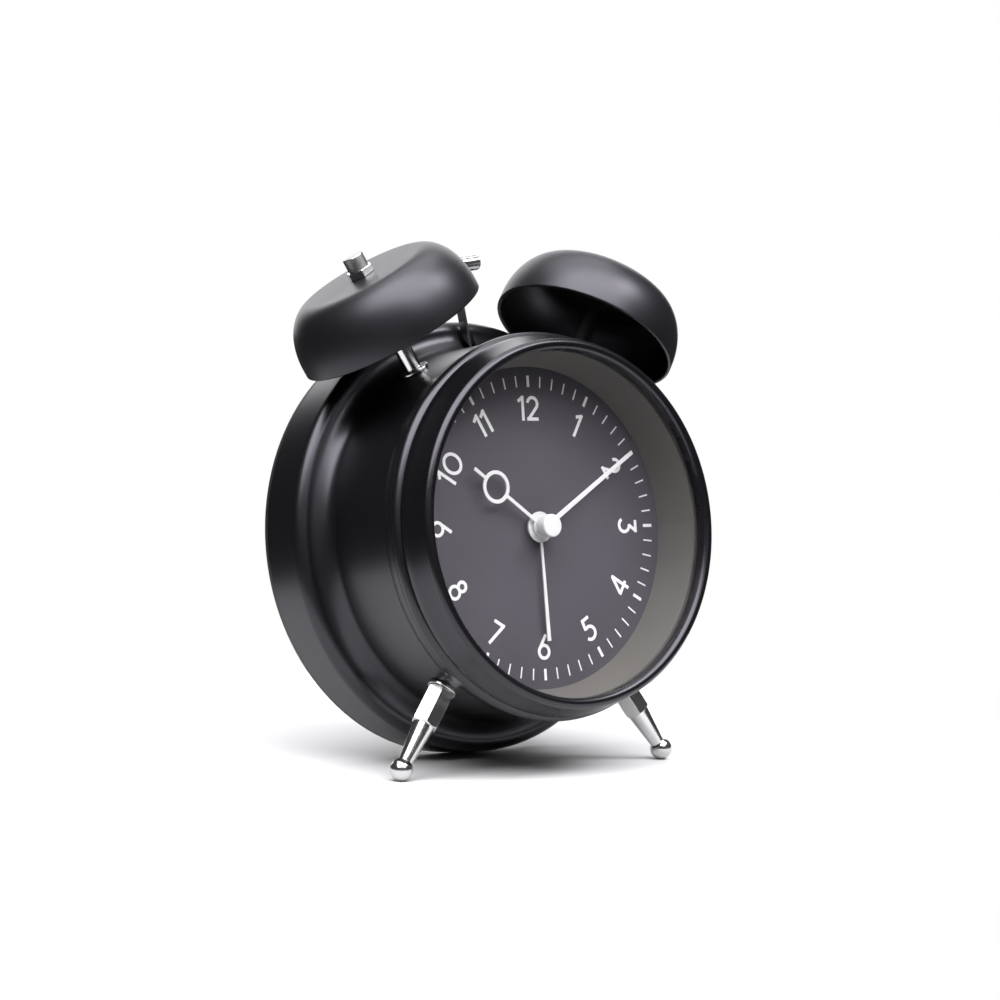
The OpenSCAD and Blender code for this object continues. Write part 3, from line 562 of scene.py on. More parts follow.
class NodeRecipe:
    """A geometry node tree under construction."""

    def __init__(self, name: str, inputs: dict[str, tuple[str, float | None]]) -> None:
        """Makes an empty tree with named inputs.

        Args:
            name: The tree's name.
            inputs: Each input's socket type and starting value.
        """
        self.tree = bpy.data.node_groups.new(name, "GeometryNodeTree")
        face = self.tree.interface
        face.new_socket("Geometry", in_out="INPUT", socket_type="NodeSocketGeometry")
        for label, (kind, value) in inputs.items():
            socket = face.new_socket(label, in_out="INPUT", socket_type=kind)
            if value is not None:
                socket.default_value = value
        face.new_socket("Geometry", in_out="OUTPUT", socket_type="NodeSocketGeometry")
        self.inputs = self.tree.nodes.new("NodeGroupInput").outputs

    def node(
        self, kind: str, links: dict[str | int, object] | None = None, **settings: object
    ) -> bpy.types.Node:
        """Adds a node.

        Args:
            kind: The node's type.
            links: What goes into each input, by its name or number: a socket or a value.
            **settings: The node's own settings.

        Returns:
            The node.
        """
        made = self.tree.nodes.new(kind)
        for key, value in settings.items():
            setattr(made, key, value)
        for key, value in (links or {}).items():
            if isinstance(value, bpy.types.NodeSocket):
                self.tree.links.new(value, made.inputs[key])
            else:
                made.inputs[key].default_value = value
        return made

    def maths(self, operation: str, *values: object) -> bpy.types.NodeSocket:
        """Adds a Math node and returns its output."""
        return self.node("ShaderNodeMath", dict(enumerate(values)), operation=operation).outputs[0]

    def finish(
        self, geometry: bpy.types.NodeSocket, material: bpy.types.Material
    ) -> bpy.types.NodeTree:
        """Ends the tree in Realize Instances and Set Material.

        Args:
            geometry: The socket with the finished geometry.
            material: What the geometry is made of.

        Returns:
            The tree.
        """
        real = self.node("GeometryNodeRealizeInstances", {"Geometry": geometry})
        painted = self.node(
            "GeometryNodeSetMaterial", {"Geometry": real.outputs[0], "Material": material}
        )
        end = self.tree.nodes.new("NodeGroupOutput")
        self.tree.links.new(painted.outputs[0], end.inputs[0])
        return self.tree


def ring_recipe(name: str, material: bpy.types.Material) -> bpy.types.NodeTree:
    """A tree that sets copies of a piece in a ring about the clock's axis.

    Args:
        name: The tree's name.
        material: What the copies are made of.

    Returns:
        The tree. Its inputs are Piece, Count, Radius, Accent every and Accent width.
    """
    recipe = NodeRecipe(name, {
        "Piece": ("NodeSocketObject", None),
        "Count": ("NodeSocketInt", 12),
        "Radius": ("NodeSocketFloat", 1.0),
        "Accent every": ("NodeSocketInt", 5),
        "Accent width": ("NodeSocketFloat", 1.0),
    })
    index = recipe.node("GeometryNodeInputIndex").outputs[0]
    angle = recipe.maths("DIVIDE", recipe.maths("MULTIPLY", index, 2 * math.pi), recipe.inputs["Count"])
    spot = recipe.node("ShaderNodeCombineXYZ", {
        "X": recipe.maths("MULTIPLY", recipe.maths("SINE", angle), recipe.inputs["Radius"]),
        "Z": recipe.maths("MULTIPLY", recipe.maths("COSINE", angle), recipe.inputs["Radius"]),
    })
    spots = recipe.node("GeometryNodePoints", {
        "Count": recipe.inputs["Count"], "Position": spot.outputs[0],
    })
    accent = recipe.maths(
        "LESS_THAN", recipe.maths("MODULO", index, recipe.inputs["Accent every"]), 0.5
    )
    widths = recipe.node(
        "GeometryNodeSwitch",
        {"Switch": accent, "False": 1.0, "True": recipe.inputs["Accent width"]},
        input_type="FLOAT",
    )
    size = recipe.node("ShaderNodeCombineXYZ", {"X": widths.outputs[0], "Y": 1.0, "Z": 1.0})
    turn = recipe.node("ShaderNodeCombineXYZ", {"Y": angle})
    piece = recipe.node("GeometryNodeObjectInfo", {"Object": recipe.inputs["Piece"]})
    copies = recipe.node("GeometryNodeInstanceOnPoints", {
        "Points": spots.outputs[0], "Instance": piece.outputs["Geometry"],
        "Rotation": turn.outputs[0], "Scale": size.outputs[0],
    })
    return recipe.finish(copies.outputs[0], material)


def coil_recipe(name: str, material: bpy.types.Material) -> bpy.types.NodeTree:
    """A tree that winds a round wire along Z.

    Args:
        name: The tree's name.
        material: What the wire is made of.

    Returns:
        The tree. Its inputs are Turns, Start radius, End radius, Height and Wire.
    """
    recipe = NodeRecipe(name, {
        "Turns": ("NodeSocketFloat", 2.0),
        "Start radius": ("NodeSocketFloat", 1.0),
        "End radius": ("NodeSocketFloat", 1.0),
        "Height": ("NodeSocketFloat", 1.0),
        "Wire": ("NodeSocketFloat", 0.1),
    })
    spiral = recipe.node("GeometryNodeCurveSpiral", {
        "Resolution": 32,
        "Rotations": recipe.inputs["Turns"],
        "Start Radius": recipe.inputs["Start radius"],
        "End Radius": recipe.inputs["End radius"],
        "Height": recipe.inputs["Height"],
    })
    section = recipe.node("GeometryNodeCurvePrimitiveCircle", {
        "Resolution": 10, "Radius": recipe.inputs["Wire"],
    })
    wire = recipe.node("GeometryNodeCurveToMesh", {
        "Curve": spiral.outputs[0], "Profile Curve": section.outputs[0], "Fill Caps": True,
    })
    return recipe.finish(wire.outputs[0], material)


# ------------------------------------------------------------------ workshop


@dataclass
class Workshop:
    """Makes pieces and hangs them on the frame's bodies.

    Attributes:
        axes: The clock's own axes.
        paints: The finishes' materials.
    """

    frame: dict
    axes: ClockAxes
    paints: Paintbox

    def mesh(self, name: str, form: Form) -> bpy.types.Mesh:
        """Makes a closed mesh from a form, in the frame's metres.

        Args:
            name: The mesh's name.
            form: The form, in the clock's millimetres.

        Returns:
            The mesh, its doubles merged and its faces outwards.
        """
        mesh = bpy.data.meshes.new(name)
        mesh.from_pydata([self.axes.place @ p for p in form.points], [], form.faces)
        work = bmesh.new()
        work.from_mesh(mesh)
        bmesh.ops.remove_doubles(work, verts=work.verts, dist=MERGE)
        bmesh.ops.dissolve_degenerate(work, edges=work.edges, dist=MERGE / 10)
        bmesh.ops.recalc_face_normals(work, faces=work.faces)
        work.to_mesh(mesh)
        work.free()
        return mesh

    def node_mesh(self, node: str) -> bpy.types.Mesh:
        """Copies a CAD node's mesh with its corners merged and its flat faces whole.

        Args:
            node: The CAD node.

        Returns:
            The copy.
        """
        work = bmesh.new()
        work.from_mesh(self.frame["nodes"][node].data)
        bmesh.ops.remove_doubles(work, verts=work.verts, dist=NODE_MERGE)
        bmesh.ops.dissolve_degenerate(work, edges=work.edges, dist=NODE_MERGE / 10)
        bmesh.ops.dissolve_limit(
            work, angle_limit=FLAT_ANGLE, verts=work.verts, edges=work.edges
        )
        work.verts.ensure_lookup_table()
        mesh = bpy.data.meshes.new(node)
        for number, vert in enumerate(work.verts):
            vert.index = number
        mesh.from_pydata(
            [v.co.copy() for v in work.verts], [], [[v.index for v in f.verts] for f in work.faces]
        )
        work.free()
        return mesh

    def settle(self, made: bpy.types.Object) -> bpy.types.Object:
        """Applies an object's modifiers to its mesh.

        Args:
            made: The object.

        Returns:
            The same object, with a plain mesh.
        """
        graph = bpy.context.evaluated_depsgraph_get()
        graph.update()
        mesh = bpy.data.meshes.new_from_object(made.evaluated_get(graph), depsgraph=graph)
        made.modifiers.clear()
        made.data = mesh
        return made

    def object(self, name: str, mesh: bpy.types.Mesh) -> bpy.types.Object:
        """Links a new object at the origin."""
        made = bpy.data.objects.new(name, mesh)
        bpy.context.scene.collection.objects.link(made)
        return made

    def shaded(self, made: bpy.types.Object, sharp: float) -> bpy.types.Object:
        """Shades an object smooth.

        Args:
            made: The object.
            sharp: Angle in degrees past which an edge stays sharp.

        Returns:
            The same object.
        """
        made.data.shade_smooth()
        made.data.set_sharp_from_angle(angle=math.radians(sharp))
        return made

    def softened(
        self, made: bpy.types.Object, edge: float, steps: int = 3, sharp: float = 34.0
    ) -> bpy.types.Object:
        """Rounds an object's edges and keeps its flat faces flat.

        Args:
            made: The object.
            edge: Width of the rounding, in millimetres.
            steps: Number of steps in it.
            sharp: Angle in degrees past which an edge stays sharp.

        Returns:
            The same object.
        """
        bevel = made.modifiers.new("soft_edges", "BEVEL")
        bevel.width = edge * MILLIMETRE
        bevel.segments = steps
        bevel.limit_method = "ANGLE"
        bevel.angle_limit = BEVEL_ANGLE
        bevel.miter_outer = "MITER_ARC"
        self.shaded(self.settle(made), sharp)
        weighted = made.modifiers.new("flat_faces", "WEIGHTED_NORMAL")
        weighted.keep_sharp = True
        weighted.weight = FACE_WEIGHT
        return self.settle(made)

    def hang(
        self, made: bpy.types.Object, finish: Look, body: str, replaces: tuple[str, ...] = (),
        slot: str | None = None,
    ) -> bpy.types.Object:
        """Dresses a piece and hangs it on its body.

        Args:
            made: The piece.
            finish: Its finish.
            body: The CAD body that it moves with.
            replaces: CAD nodes that it stands for.
            slot: The record's slot, where its name isn't the finish's. It is not used.

        Returns:
            The piece.
        """
        mesh = made.data
        if not mesh.materials:
            mesh.materials.append(self.paints[finish])
        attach(made, body)
        if replaces:
            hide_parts(*replaces)
        LOG.info("%s on %s: %d faces", made.name, body, len(mesh.polygons))
        return made

    def piece(
        self, name: str, form: Form, finish: Look, body: str = "clock",
        replaces: tuple[str, ...] = (), edge: float = 0.0, sharp: float = 34.0, **hanging: object,
    ) -> bpy.types.Object:
        """Makes a piece from a form.

        Args:
            name: The piece's name.
            form: The form, in the clock's millimetres.
            finish: Its finish.
            body: The CAD body that it moves with.
            replaces: CAD nodes that it stands for.
            edge: Width of the rounding along its edges, in millimetres.
            sharp: Angle in degrees past which an edge stays sharp.
            **hanging: Passed on to hang.

        Returns:
            The piece.
        """
        made = self.object(name, self.mesh(name, form))
        if edge:
            self.softened(made, edge, sharp=sharp)
        else:
            self.shaded(made, sharp)
        return self.hang(made, finish, body, replaces, **hanging)

    def refined(
        self, node: str, finish: Look, body: str = "clock", edge: float = 0.12, steps: int = 3,
        **hanging: object,
    ) -> bpy.types.Object:
        """Makes a piece with rounded edges from a CAD node's shape.

        Args:
            node: The CAD node, which the piece replaces.
            finish: Its finish.
            body: The CAD body that it moves with.
            edge: Width of the rounding, in millimetres.
            steps: Number of steps in it.
            **hanging: Passed on to hang.

        Returns:
            The piece.
        """
        made = self.object(node + "_fine", self.node_mesh(node))
        self.softened(made, edge, steps)
        return self.hang(made, finish, body, (node,), **hanging)

    def grown(
        self, name: str, recipe: bpy.types.NodeTree, values: dict[str, object], finish: Look,
        body: str = "clock", place: Matrix | None = None, replaces: tuple[str, ...] = (),
        sharp: float = 34.0, **hanging: object,
    ) -> bpy.types.Object:
        """Makes a piece with geometry nodes.

        Args:
            name: The piece's name.
            recipe: The node tree.
            values: The tree's inputs, by name.
            finish: Its finish.
            body: The CAD body that it moves with.
            place: Placing in the clock's millimetres.
            replaces: CAD nodes that it stands for.
            sharp: Angle in degrees past which an edge stays sharp.
            **hanging: Passed on to hang.

        Returns:
            The piece.
        """
        made = self.object(name, bpy.data.meshes.new(name))
        modifier = made.modifiers.new("recipe", "NODES")
        modifier.node_group = recipe
        for item in recipe.interface.items_tree:
            if item.in_out == "INPUT" and item.name in values:
                modifier[item.identifier] = values[item.name]
        self.settle(made)
        made.data.transform(self.axes.place @ (place or Matrix.Identity(4)))
        self.shaded(made, sharp)
        return self.hang(made, finish, body, replaces, **hanging)

    def carved(self, made: bpy.types.Object, cutter: Form) -> bpy.types.Object:
        """Cuts a form out of an object.

        Args:
            made: The object.
            cutter: What is cut away, in the clock's millimetres.

        Returns:
            The same object.
        """
        tool = self.object("cutter", self.mesh("cutter", cutter))
        cut = made.modifiers.new("cut", "BOOLEAN")
        cut.operation = "DIFFERENCE"
        cut.solver = "EXACT"
        cut.object = tool
        self.settle(made)
        bpy.data.objects.remove(tool)
        return made

    def dress(self, nodes: dict[str, Look]) -> None:
        """Gives CAD nodes that keep their own shape their finish.

        Args:
            nodes: Each node's finish.
        """
        for node, finish in nodes.items():
            shown = self.frame["nodes"][node]
            if not shown.material_slots:
                shown.data.materials.append(self.paints[finish])
            for place in shown.material_slots:
                place.material = self.paints[finish]
            LOG.info("%s keeps its shape, in %s", node, finish.value.name)


# ------------------------------------------------------------------ the clock


@dataclass
class Case:
    """The spun case: a rolled bead, a drum, a flare and a wide rear band."""

    radius: float = 51.6
    wall: float = 1.0
    bead_radius: float = 2.2
    bead_depth: float = -5.6
    lip_angle: float = -75.0
    depth: float = 21.0
    flare_radius: float = 5.4
    edge_radius: float = 3.2
    band_depth: float = 11.6
    post_angle: float = 31.4781
    post_depth: float = 15.0
    leg_angle: float = 36.0
    leg_depth: float = 6.4
    hole_radius: float = 2.05
    slot_half: float = 2.679
    slot_depth: float = 24.4
    slot_long: float = 4.2

    @property
    def shell_end(self) -> float:
        """Depth of the shell's rear edge."""
        return self.depth + self.flare_radius + self.edge_radius + self.band_depth

    def line(self, inset: float) -> Profile:
        """The shell's profile.

        Args:
            inset: How far inside the outer face it runs.

        Returns:
            Points of radius and depth, from the front lip to the rear edge.
        """
        flare = self.radius + self.flare_radius
        edge = self.depth + self.flare_radius + self.edge_radius
        return [
            *arc(self.radius - 1, self.bead_depth, self.bead_radius - inset, self.lip_angle, 50, 36),
            *arc(self.radius + 4 - inset, 0, 4, 200, 180, 8),
            *arc(flare, self.depth, self.flare_radius + inset, 180, 90, 32),
            *arc(flare, edge, self.edge_radius - inset, -90, 0, 28),
            (flare + self.edge_radius - inset, self.shell_end),
        ]

    def build(self, shop: Workshop) -> None:
        """Makes the case shell with its holes.

        Args:
            shop: The workshop.
        """
        shell = turned(self.line(0) + self.line(self.wall)[::-1], 240).placed(ALONG_CLOCK)
        hole = turned([(0, -3), (self.hole_radius, -3), (self.hole_radius, 3), (0, 3)], 32, False)
        at = self.radius - self.wall
        cuts = block(
            Vector((2 * self.slot_half, self.slot_long, 8)), Vector((0, self.slot_depth, at + 2))
        )
        for side in (-1, 1):
            cuts += hole.placed(radial(side * self.post_angle, self.post_depth, at))
            cuts += hole.placed(radial(side * (180 - self.leg_angle), self.leg_depth, at))
        made = shop.object("case_shell_fine", shop.mesh("case_shell_fine", shell))
        shop.shaded(shop.carved(made, cuts), 30)
        shop.hang(made, Look.LACQUER, "clock", ("case_shell",))


@dataclass
class Front:
    """The bezel, glass, dial, its track of minutes and its numerals."""

    case_radius: float = 51.6
    seat: float = 48.4
    skirt: float = 50.4
    skirt_end: float = 2.2
    flange_depth: float = -8.125
    ridge: float = 48.3
    ridge_width: float = 3.2
    front: float = -16.8
    lens_front: float = -13.4
    mouth: float = 46.8
    marks_radius: float = 40.0
    mark_long: float = 3.1
    mark_width: float = 0.4
    hour_mark_width: float = 0.85
    print_height: float = 0.05
    numeral_radius: float = 32.6
    numeral_height: float = 6.8
    numeral_stroke: float = 0.9

    def bezel(self) -> Form:
        """Returns the bezel's turned form."""
        half = self.ridge_width / 2
        profile = [
            (self.seat, self.skirt_end), (self.skirt, self.skirt_end),
            (self.skirt, self.flange_depth), (self.case_radius - 0.1, self.flange_depth),
            *arc(self.case_radius - 0.1, self.flange_depth - 0.2, 0.2, 90, 0, 4),
            (self.case_radius + 0.2, self.flange_depth - 0.8),
            (self.case_radius - 0.05, self.flange_depth - 1.9),
            (self.case_radius - 0.3, self.flange_depth - 3),
            *arc(self.ridge, self.front + half, half, 0, -150, 40),
            (self.mouth, self.lens_front - 0.5),
            (self.mouth, self.lens_front), (self.seat, self.lens_front),
        ]
        return turned(profile, 240).placed(ALONG_CLOCK)

    def glyph(self, digit: str) -> list[tuple[Profile, bool]]:
        """The strokes of a digit one unit tall, about its own middle.

        Args:
            digit: The digit.

        Returns:
            Each stroke's points, and whether it joins up.
        """
        half = 0.5 - self.numeral_stroke / self.numeral_height / 2
        ellipse = [(0.36 * x, half * y) for x, y in arc(0, 0, 1, 90, -270, 48)[:-1]]
        shapes = {
            "0": [(ellipse, True)],
            "1": [([(0.09, -0.5), (0.09, 0.5)], False), ([(0.1, 0.445), (-0.15, 0.27)], False)],
            "2": [
                ([*arc(0, 0.185, 0.249, 172, -38, 30), (-0.235, -0.45)], False),
                ([(-0.30, -half), (0.28, -half)], False),
            ],
            "3": [
                ([(-0.23, half), (0.27, half)], False),
                ([(0.215, 0.45), (-0.035, 0.085)], False),
                (arc(-0.03, -0.168, 0.266, 98, -152, 34), False),
            ],
            "4": [
                ([(0.12, -0.5), (0.12, 0.5)], False), ([(0.1, 0.44), (-0.29, -0.2)], False),
                ([(-0.345, -0.225), (0.29, -0.225)], False),
            ],
            "5": [
                ([(-0.15, half), (0.24, half)], False), ([(-0.115, 0.49), (-0.175, 0.04)], False),
                (arc(-0.02, -0.168, 0.266, 122, -150, 34), False),
            ],
            "6": [
                (arc(0, -0.178, 0.256, 90, -270, 40)[:-1], True),
                ([(0.13, 0.5), (-0.215, -0.05)], False),
            ],
            "7": [([(-0.28, half), (0.285, half)], False), ([(0.235, 0.46), (-0.13, -0.5)], False)],
            "8": [
                (arc(0, 0.247, 0.187, 90, -270, 36)[:-1], True),
                (arc(0, -0.187, 0.247, 90, -270, 40)[:-1], True),
            ],
        }
        if digit == "9":
            return [([(-x, -y) for x, y in line], loop) for line, loop in self.glyph("6")]
        return shapes[digit]

    def numerals(self) -> Form:
        """Returns the twelve numerals, each turned to read along its radius."""
        offsets = {"10": (-0.53, 0.19), "11": (-0.24, 0.16), "12": (-0.43, 0.16)}
        form = Form()
        layer = 0
        for hour in range(1, 13):
            text = str(hour)
            inward = -1 if 4 <= hour <= 8 else 1
            angle = math.radians(30 * hour)
            up = Vector((math.sin(angle), 0, math.cos(angle)))
            right = Vector((math.cos(angle), 0, -math.sin(angle))) * inward
            spot = up * self.numeral_radius
            basis = Matrix((right, up * inward, Vector((0, -1, 0)))).transposed().to_4x4()
            for digit, shift in zip(text, offsets.get(text, (0.0,))):
                for line, loop in self.glyph(digit):
                    layer = (layer + 1) % LAYERS
                    tall = [
                        ((x + shift) * self.numeral_height, y * self.numeral_height) for x, y in line
                    ]
                    face = self.print_height - LAYER_STEP * layer
                    stroke = ribbon(tall, self.numeral_stroke, face, 0.0, loop)
                    form += stroke.placed(Matrix.Translation(spot) @ basis)
        return form

    def build(self, shop: Workshop) -> None:
        """Makes the front.

        Args:
            shop: The workshop.
        """
        shop.piece("bezel_fine", self.bezel(), Look.BEZEL, replaces=("bezel",), sharp=30)
        shop.piece("numerals", self.numerals(), Look.MARKS, sharp=30)
        mark = block(
            Vector((self.mark_width, self.print_height, self.mark_long)),
            Vector((0, -self.print_height / 2, 0)),
        )
        sample = bpy.data.meshes.new("mark")
        sample.from_pydata(mark.points, [], mark.faces)
        pattern = shop.object("mark_pattern", sample)
        shop.grown(
            "minute_track", ring_recipe("minute_track", shop.paints[Look.MARKS]),
            {
                "Piece": pattern, "Count": 60, "Radius": self.marks_radius, "Accent every": 5,
                "Accent width": self.hour_mark_width / self.mark_width,
            },
            Look.MARKS, replaces=("minute_marks",),
        )
        bpy.data.objects.remove(pattern)
        shop.dress({
            "lens": Look.GLASS, "dial_ring": Look.RING, "dial": Look.DIAL, "dial_carrier": Look.PLASTIC,
        })


@dataclass
class Hands:
    """The three hands and the cap over their tubes."""

    cap_radius: float = 3.15
    cap_depth: float = -4.6
    cap_height: float = 2.5
    edge: float = 0.45
    socket_radius: float = 0.75
    socket_depth: float = 1.2
    hand_edge: float = 0.07

    def cap(self) -> Form:
        """Returns the cap, a short turned button with a rounded rim and a hollow for its tube."""
        edge, radius, top = self.edge, self.cap_radius, self.cap_height
        profile = [
            (0, top), *reversed(arc(radius - edge, top - edge, edge, 0, 90, 10)),
            (radius, 0.0), (self.socket_radius, 0.0), (self.socket_radius, self.socket_depth),
            (0, self.socket_depth),
        ]
        back = Matrix.Translation((0, self.cap_depth, 0)) @ Matrix.Rotation(math.pi / 2, 4, "X")
        return turned(profile, 64, closed=False).placed(back)

    def build(self, shop: Workshop) -> None:
        """Makes the hands.

        Args:
            shop: The workshop.
        """
        for name in ("minute", "hour", "alarm"):
            shop.refined(name + "_hand", Look.HANDS, name + "_works", self.hand_edge)
        shop.piece("hand_cap_fine", self.cap(), Look.HANDS, "minute_works", ("hand_cap",))


@dataclass
class Bells:
    """The two bells, with their posts, washers and nuts."""

    angle: float = 31.4781
    depth: float = 15.0
    rim_at: float = 64.2
    radius: float = 26.3
    height: float = 17.4
    top_radius: float = 16.6
    side_height: float = 2.6
    wall: float = 1.0
    hole: float = 2.05
    case_radius: float = 51.6
    post_radius: float = 2.4
    thread_radius: float = 1.95
    washer: float = 0.8
    washer_gap: float = 0.02
    nut_height: float = 2.2
    cap_radius: float = 2.95
    cap_height: float = 3.9
    cap_dome: float = 0.45
    cap_foot: float = 0.25
    nut_edge: float = 0.22
    washer_edge: float = 0.14
    thread_inside: float = 6.0
    thread_above: float = 1.6
    thread_chamfer: float = 0.3
    shoulder_chamfer: float = 0.25

    def line(self, inset: float) -> Profile:
        """The bell's curved wall.

        Args:
            inset: How far inside the outer face it runs.

        Returns:
            Points of radius and height above the rim, from the side to the top.
        """
        wide = self.radius - self.top_radius - inset
        tall = self.height - self.side_height - inset
        return quarter(self.top_radius, self.side_height, wide, tall)

    def bell(self) -> Form:
        """Returns one bell, its rim rolled and its post hole open."""
        roll = self.wall / 2
        profile = [
            *arc(self.radius - roll, roll, roll, -180, 0, 12), *self.line(0), (self.hole, self.height),
            (self.hole, self.height - self.wall), *reversed(self.line(self.wall)),
        ]
        return turned(profile, 200)

    def post(self) -> Form:
        """Returns a post: a thread below, a thicker shaft, and a thread above."""
        low = self.case_radius + self.washer_gap + self.washer
        high = self.rim_at + self.height - self.wall
        foot = self.case_radius - self.thread_inside
        end = high + self.wall + self.nut_height + self.thread_above
        edge, chamfer = self.shoulder_chamfer, self.thread_chamfer
        r, t = self.post_radius, self.thread_radius
        profile = [
            (0, foot), (t - chamfer, foot), (t, foot + chamfer),
            (t, low), (r - edge, low), (r, low + edge), (r, high - edge), (r - edge, high),
            (t, high), (t, end - chamfer), (t - chamfer, end), (0, end),
        ]
        return turned(profile, 48, closed=False)

    def cap_nut(self) -> Form:
        """Returns a round cap nut with a low dome."""
        r, top, dome = self.cap_radius, self.cap_height, self.cap_dome
        crown = quarter(r - dome, top - dome, dome, dome, 8)
        foot = self.cap_foot
        return turned([(0, 0), (r - foot, 0), (r, foot), *crown, (0, top)], 56, closed=False)

    def build(self, shop: Workshop) -> None:
        """Makes the bells and their fittings.

        Args:
            shop: The workshop.
        """
        posts, caps = Form(), Form()
        for side, name in ((-1, "left_bell"), (1, "right_bell")):
            where = radial(side * self.angle, self.depth)
            up = radial(side * self.angle, self.depth, self.rim_at)
            top = radial(side * self.angle, self.depth, self.rim_at + self.height + self.nut_height)
            shop.piece(name + "_fine", self.bell().placed(up), Look.BELL, replaces=(name,), sharp=30)
            posts += self.post().placed(where)
            caps += self.cap_nut().placed(top)
        shop.piece("bell_posts_fine", posts, Look.CHROME, replaces=("bell_posts",))
        shop.piece("bell_cap_nuts_fine", caps, Look.SATIN, replaces=("bell_cap_nuts",), slot="chrome")
        shop.refined("bell_nuts", Look.CHROME, edge=self.nut_edge)
        shop.refined("bell_washers", Look.CHROME, edge=self.washer_edge)


@dataclass
class Legs:
    """The two turned legs with their washers."""

    edge: float = 0.16

    def build(self, shop: Workshop) -> None:
        """Makes the legs.

        Args:
            shop: The workshop.
        """
        for name in ("left_leg", "right_leg"):
            shop.refined(name, Look.CHROME, edge=self.edge)
        shop.refined("leg_washers", Look.CHROME, edge=self.edge)


@dataclass
class Hammer:
    """The hammer between the bells."""

    head_edge: float = 0.35
    strip_edge: float = 0.1

    def build(self, shop: Workshop) -> None:
        """Makes the hammer's head and strip.

        Args:
            shop: The workshop.
        """
        shop.refined("hammer_head", Look.CHROME, "hammer", self.head_edge, 4)
        shop.refined("hammer_arm", Look.CHROME, "hammer", self.strip_edge)
        shop.dress({"hammer_lever": Look.IVORY})


@dataclass
class Rear:
    """The rear cover with its door, screws, knobs and switch."""

    knob_radius: float = 5.5
    knob_depth: float = 43.4
    knob_height: float = 6.0
    shaft_radius: float = 1.2
    rib_count: int = 36
    rib_width: float = 0.42
    time_x: float = -10.0
    alarm_x: float = 15.0
    cover_end: float = 42.8
    arrow_radius: float = 8.0
    arrow_width: float = 0.6
    arrow_height: float = 0.25
    arrow_edge: float = 0.06
    barb: float = 1.2
    sunk: float = 0.05
    cover_edge: float = 0.18
    door_edge: float = 0.14
    switch_edge: float = 0.3
    screw_edge: float = 0.12

    def knob(self) -> Form:
        """Returns a knob's core, with a dished face, a rounded rim and a hole for its shaft."""
        core, high, shaft = self.knob_radius - 0.35, self.knob_height, self.shaft_radius
        profile = [
            (shaft, 0.0), (core - 0.5, 0.0), (core, 0.5), (core, high - 0.8),
            *arc(core - 0.8, high - 0.8, 0.8, 0, 90, 8),
            (core - 1.6, high), (core - 2.1, high - 0.35), (0, high - 0.35),
        ]
        hollow = [(0, high / 2), (shaft, high / 2)]
        return turned([*hollow, *profile], 72, closed=False)

    def arrow(self, x: float) -> Form:
        """A raised arc with an arrow head round a knob, which shows the way to turn it.

        Args:
            x: Where the knob stands.

        Returns:
            The arrow.
        """
        sweep = arc(0, 0, self.arrow_radius, 150, 35, 28)
        tip = math.radians(20)
        point = (self.arrow_radius * math.cos(tip), self.arrow_radius * math.sin(tip))
        base = math.radians(37)
        barbs = [
            (r * math.cos(base), r * math.sin(base))
            for r in (self.arrow_radius + self.barb, self.arrow_radius - self.barb)
        ]
        corners = [point, *barbs]
        head = Form(
            [Vector((a, b, h)) for h in (self.arrow_height, -self.sunk) for a, b in corners],
            [[0, 1, 2], [5, 4, 3], [0, 3, 4, 1], [1, 4, 5, 2], [2, 5, 3, 0]],
        )
        stroke = ribbon(sweep, self.arrow_width, self.arrow_height, -self.sunk) + head
        lie = Matrix.Translation((x, self.cover_end, 0)) @ ALONG_CLOCK
        return stroke.placed(lie)

    def build(self, shop: Workshop) -> None:
        """Makes the rear.

        Args:
            shop: The workshop.
        """
        shop.refined("rear_cover", Look.PLASTIC, edge=self.cover_edge, steps=2)
        shop.refined("battery_door", Look.PLASTIC, "door", self.door_edge, 2)
        shop.refined("alarm_switch", Look.SWITCH, "switch", self.switch_edge)
        shop.refined("cover_screws", Look.STEEL, edge=self.screw_edge, steps=2)
        arrows = self.arrow(self.time_x) + self.arrow(self.alarm_x)
        shop.piece("turning_arrows", arrows, Look.PLASTIC, edge=self.arrow_edge)
        rib_form = turned(
            [(0, 0.9), (self.rib_width, 1.15), (self.rib_width, 4.9), (0, 5.15)], 10, closed=False
        ).placed(ALONG_CLOCK)
        rib = bpy.data.meshes.new("rib")
        rib.from_pydata(rib_form.points, [], rib_form.faces)
        pattern = shop.object("rib_pattern", rib)
        recipe = ring_recipe("knob_ribs", shop.paints[Look.PLASTIC])
        for name, x, body in (
            ("time_set_knob", self.time_x, "time_setter"),
            ("alarm_set_knob", self.alarm_x, "alarm_setter"),
        ):
            where = Matrix.Translation((x, self.knob_depth, 0))
            shop.piece(
                name + "_core", self.knob().placed(where @ ALONG_CLOCK), Look.PLASTIC, body, (name,)
            )
            shop.grown(
                name + "_ribs", recipe,
                {
                    "Piece": pattern, "Count": self.rib_count,
                    "Radius": self.knob_radius - self.rib_width, "Accent every": 1, "Accent width": 1.0,
                },
                Look.PLASTIC, body, where,
            )
        bpy.data.objects.remove(pattern)


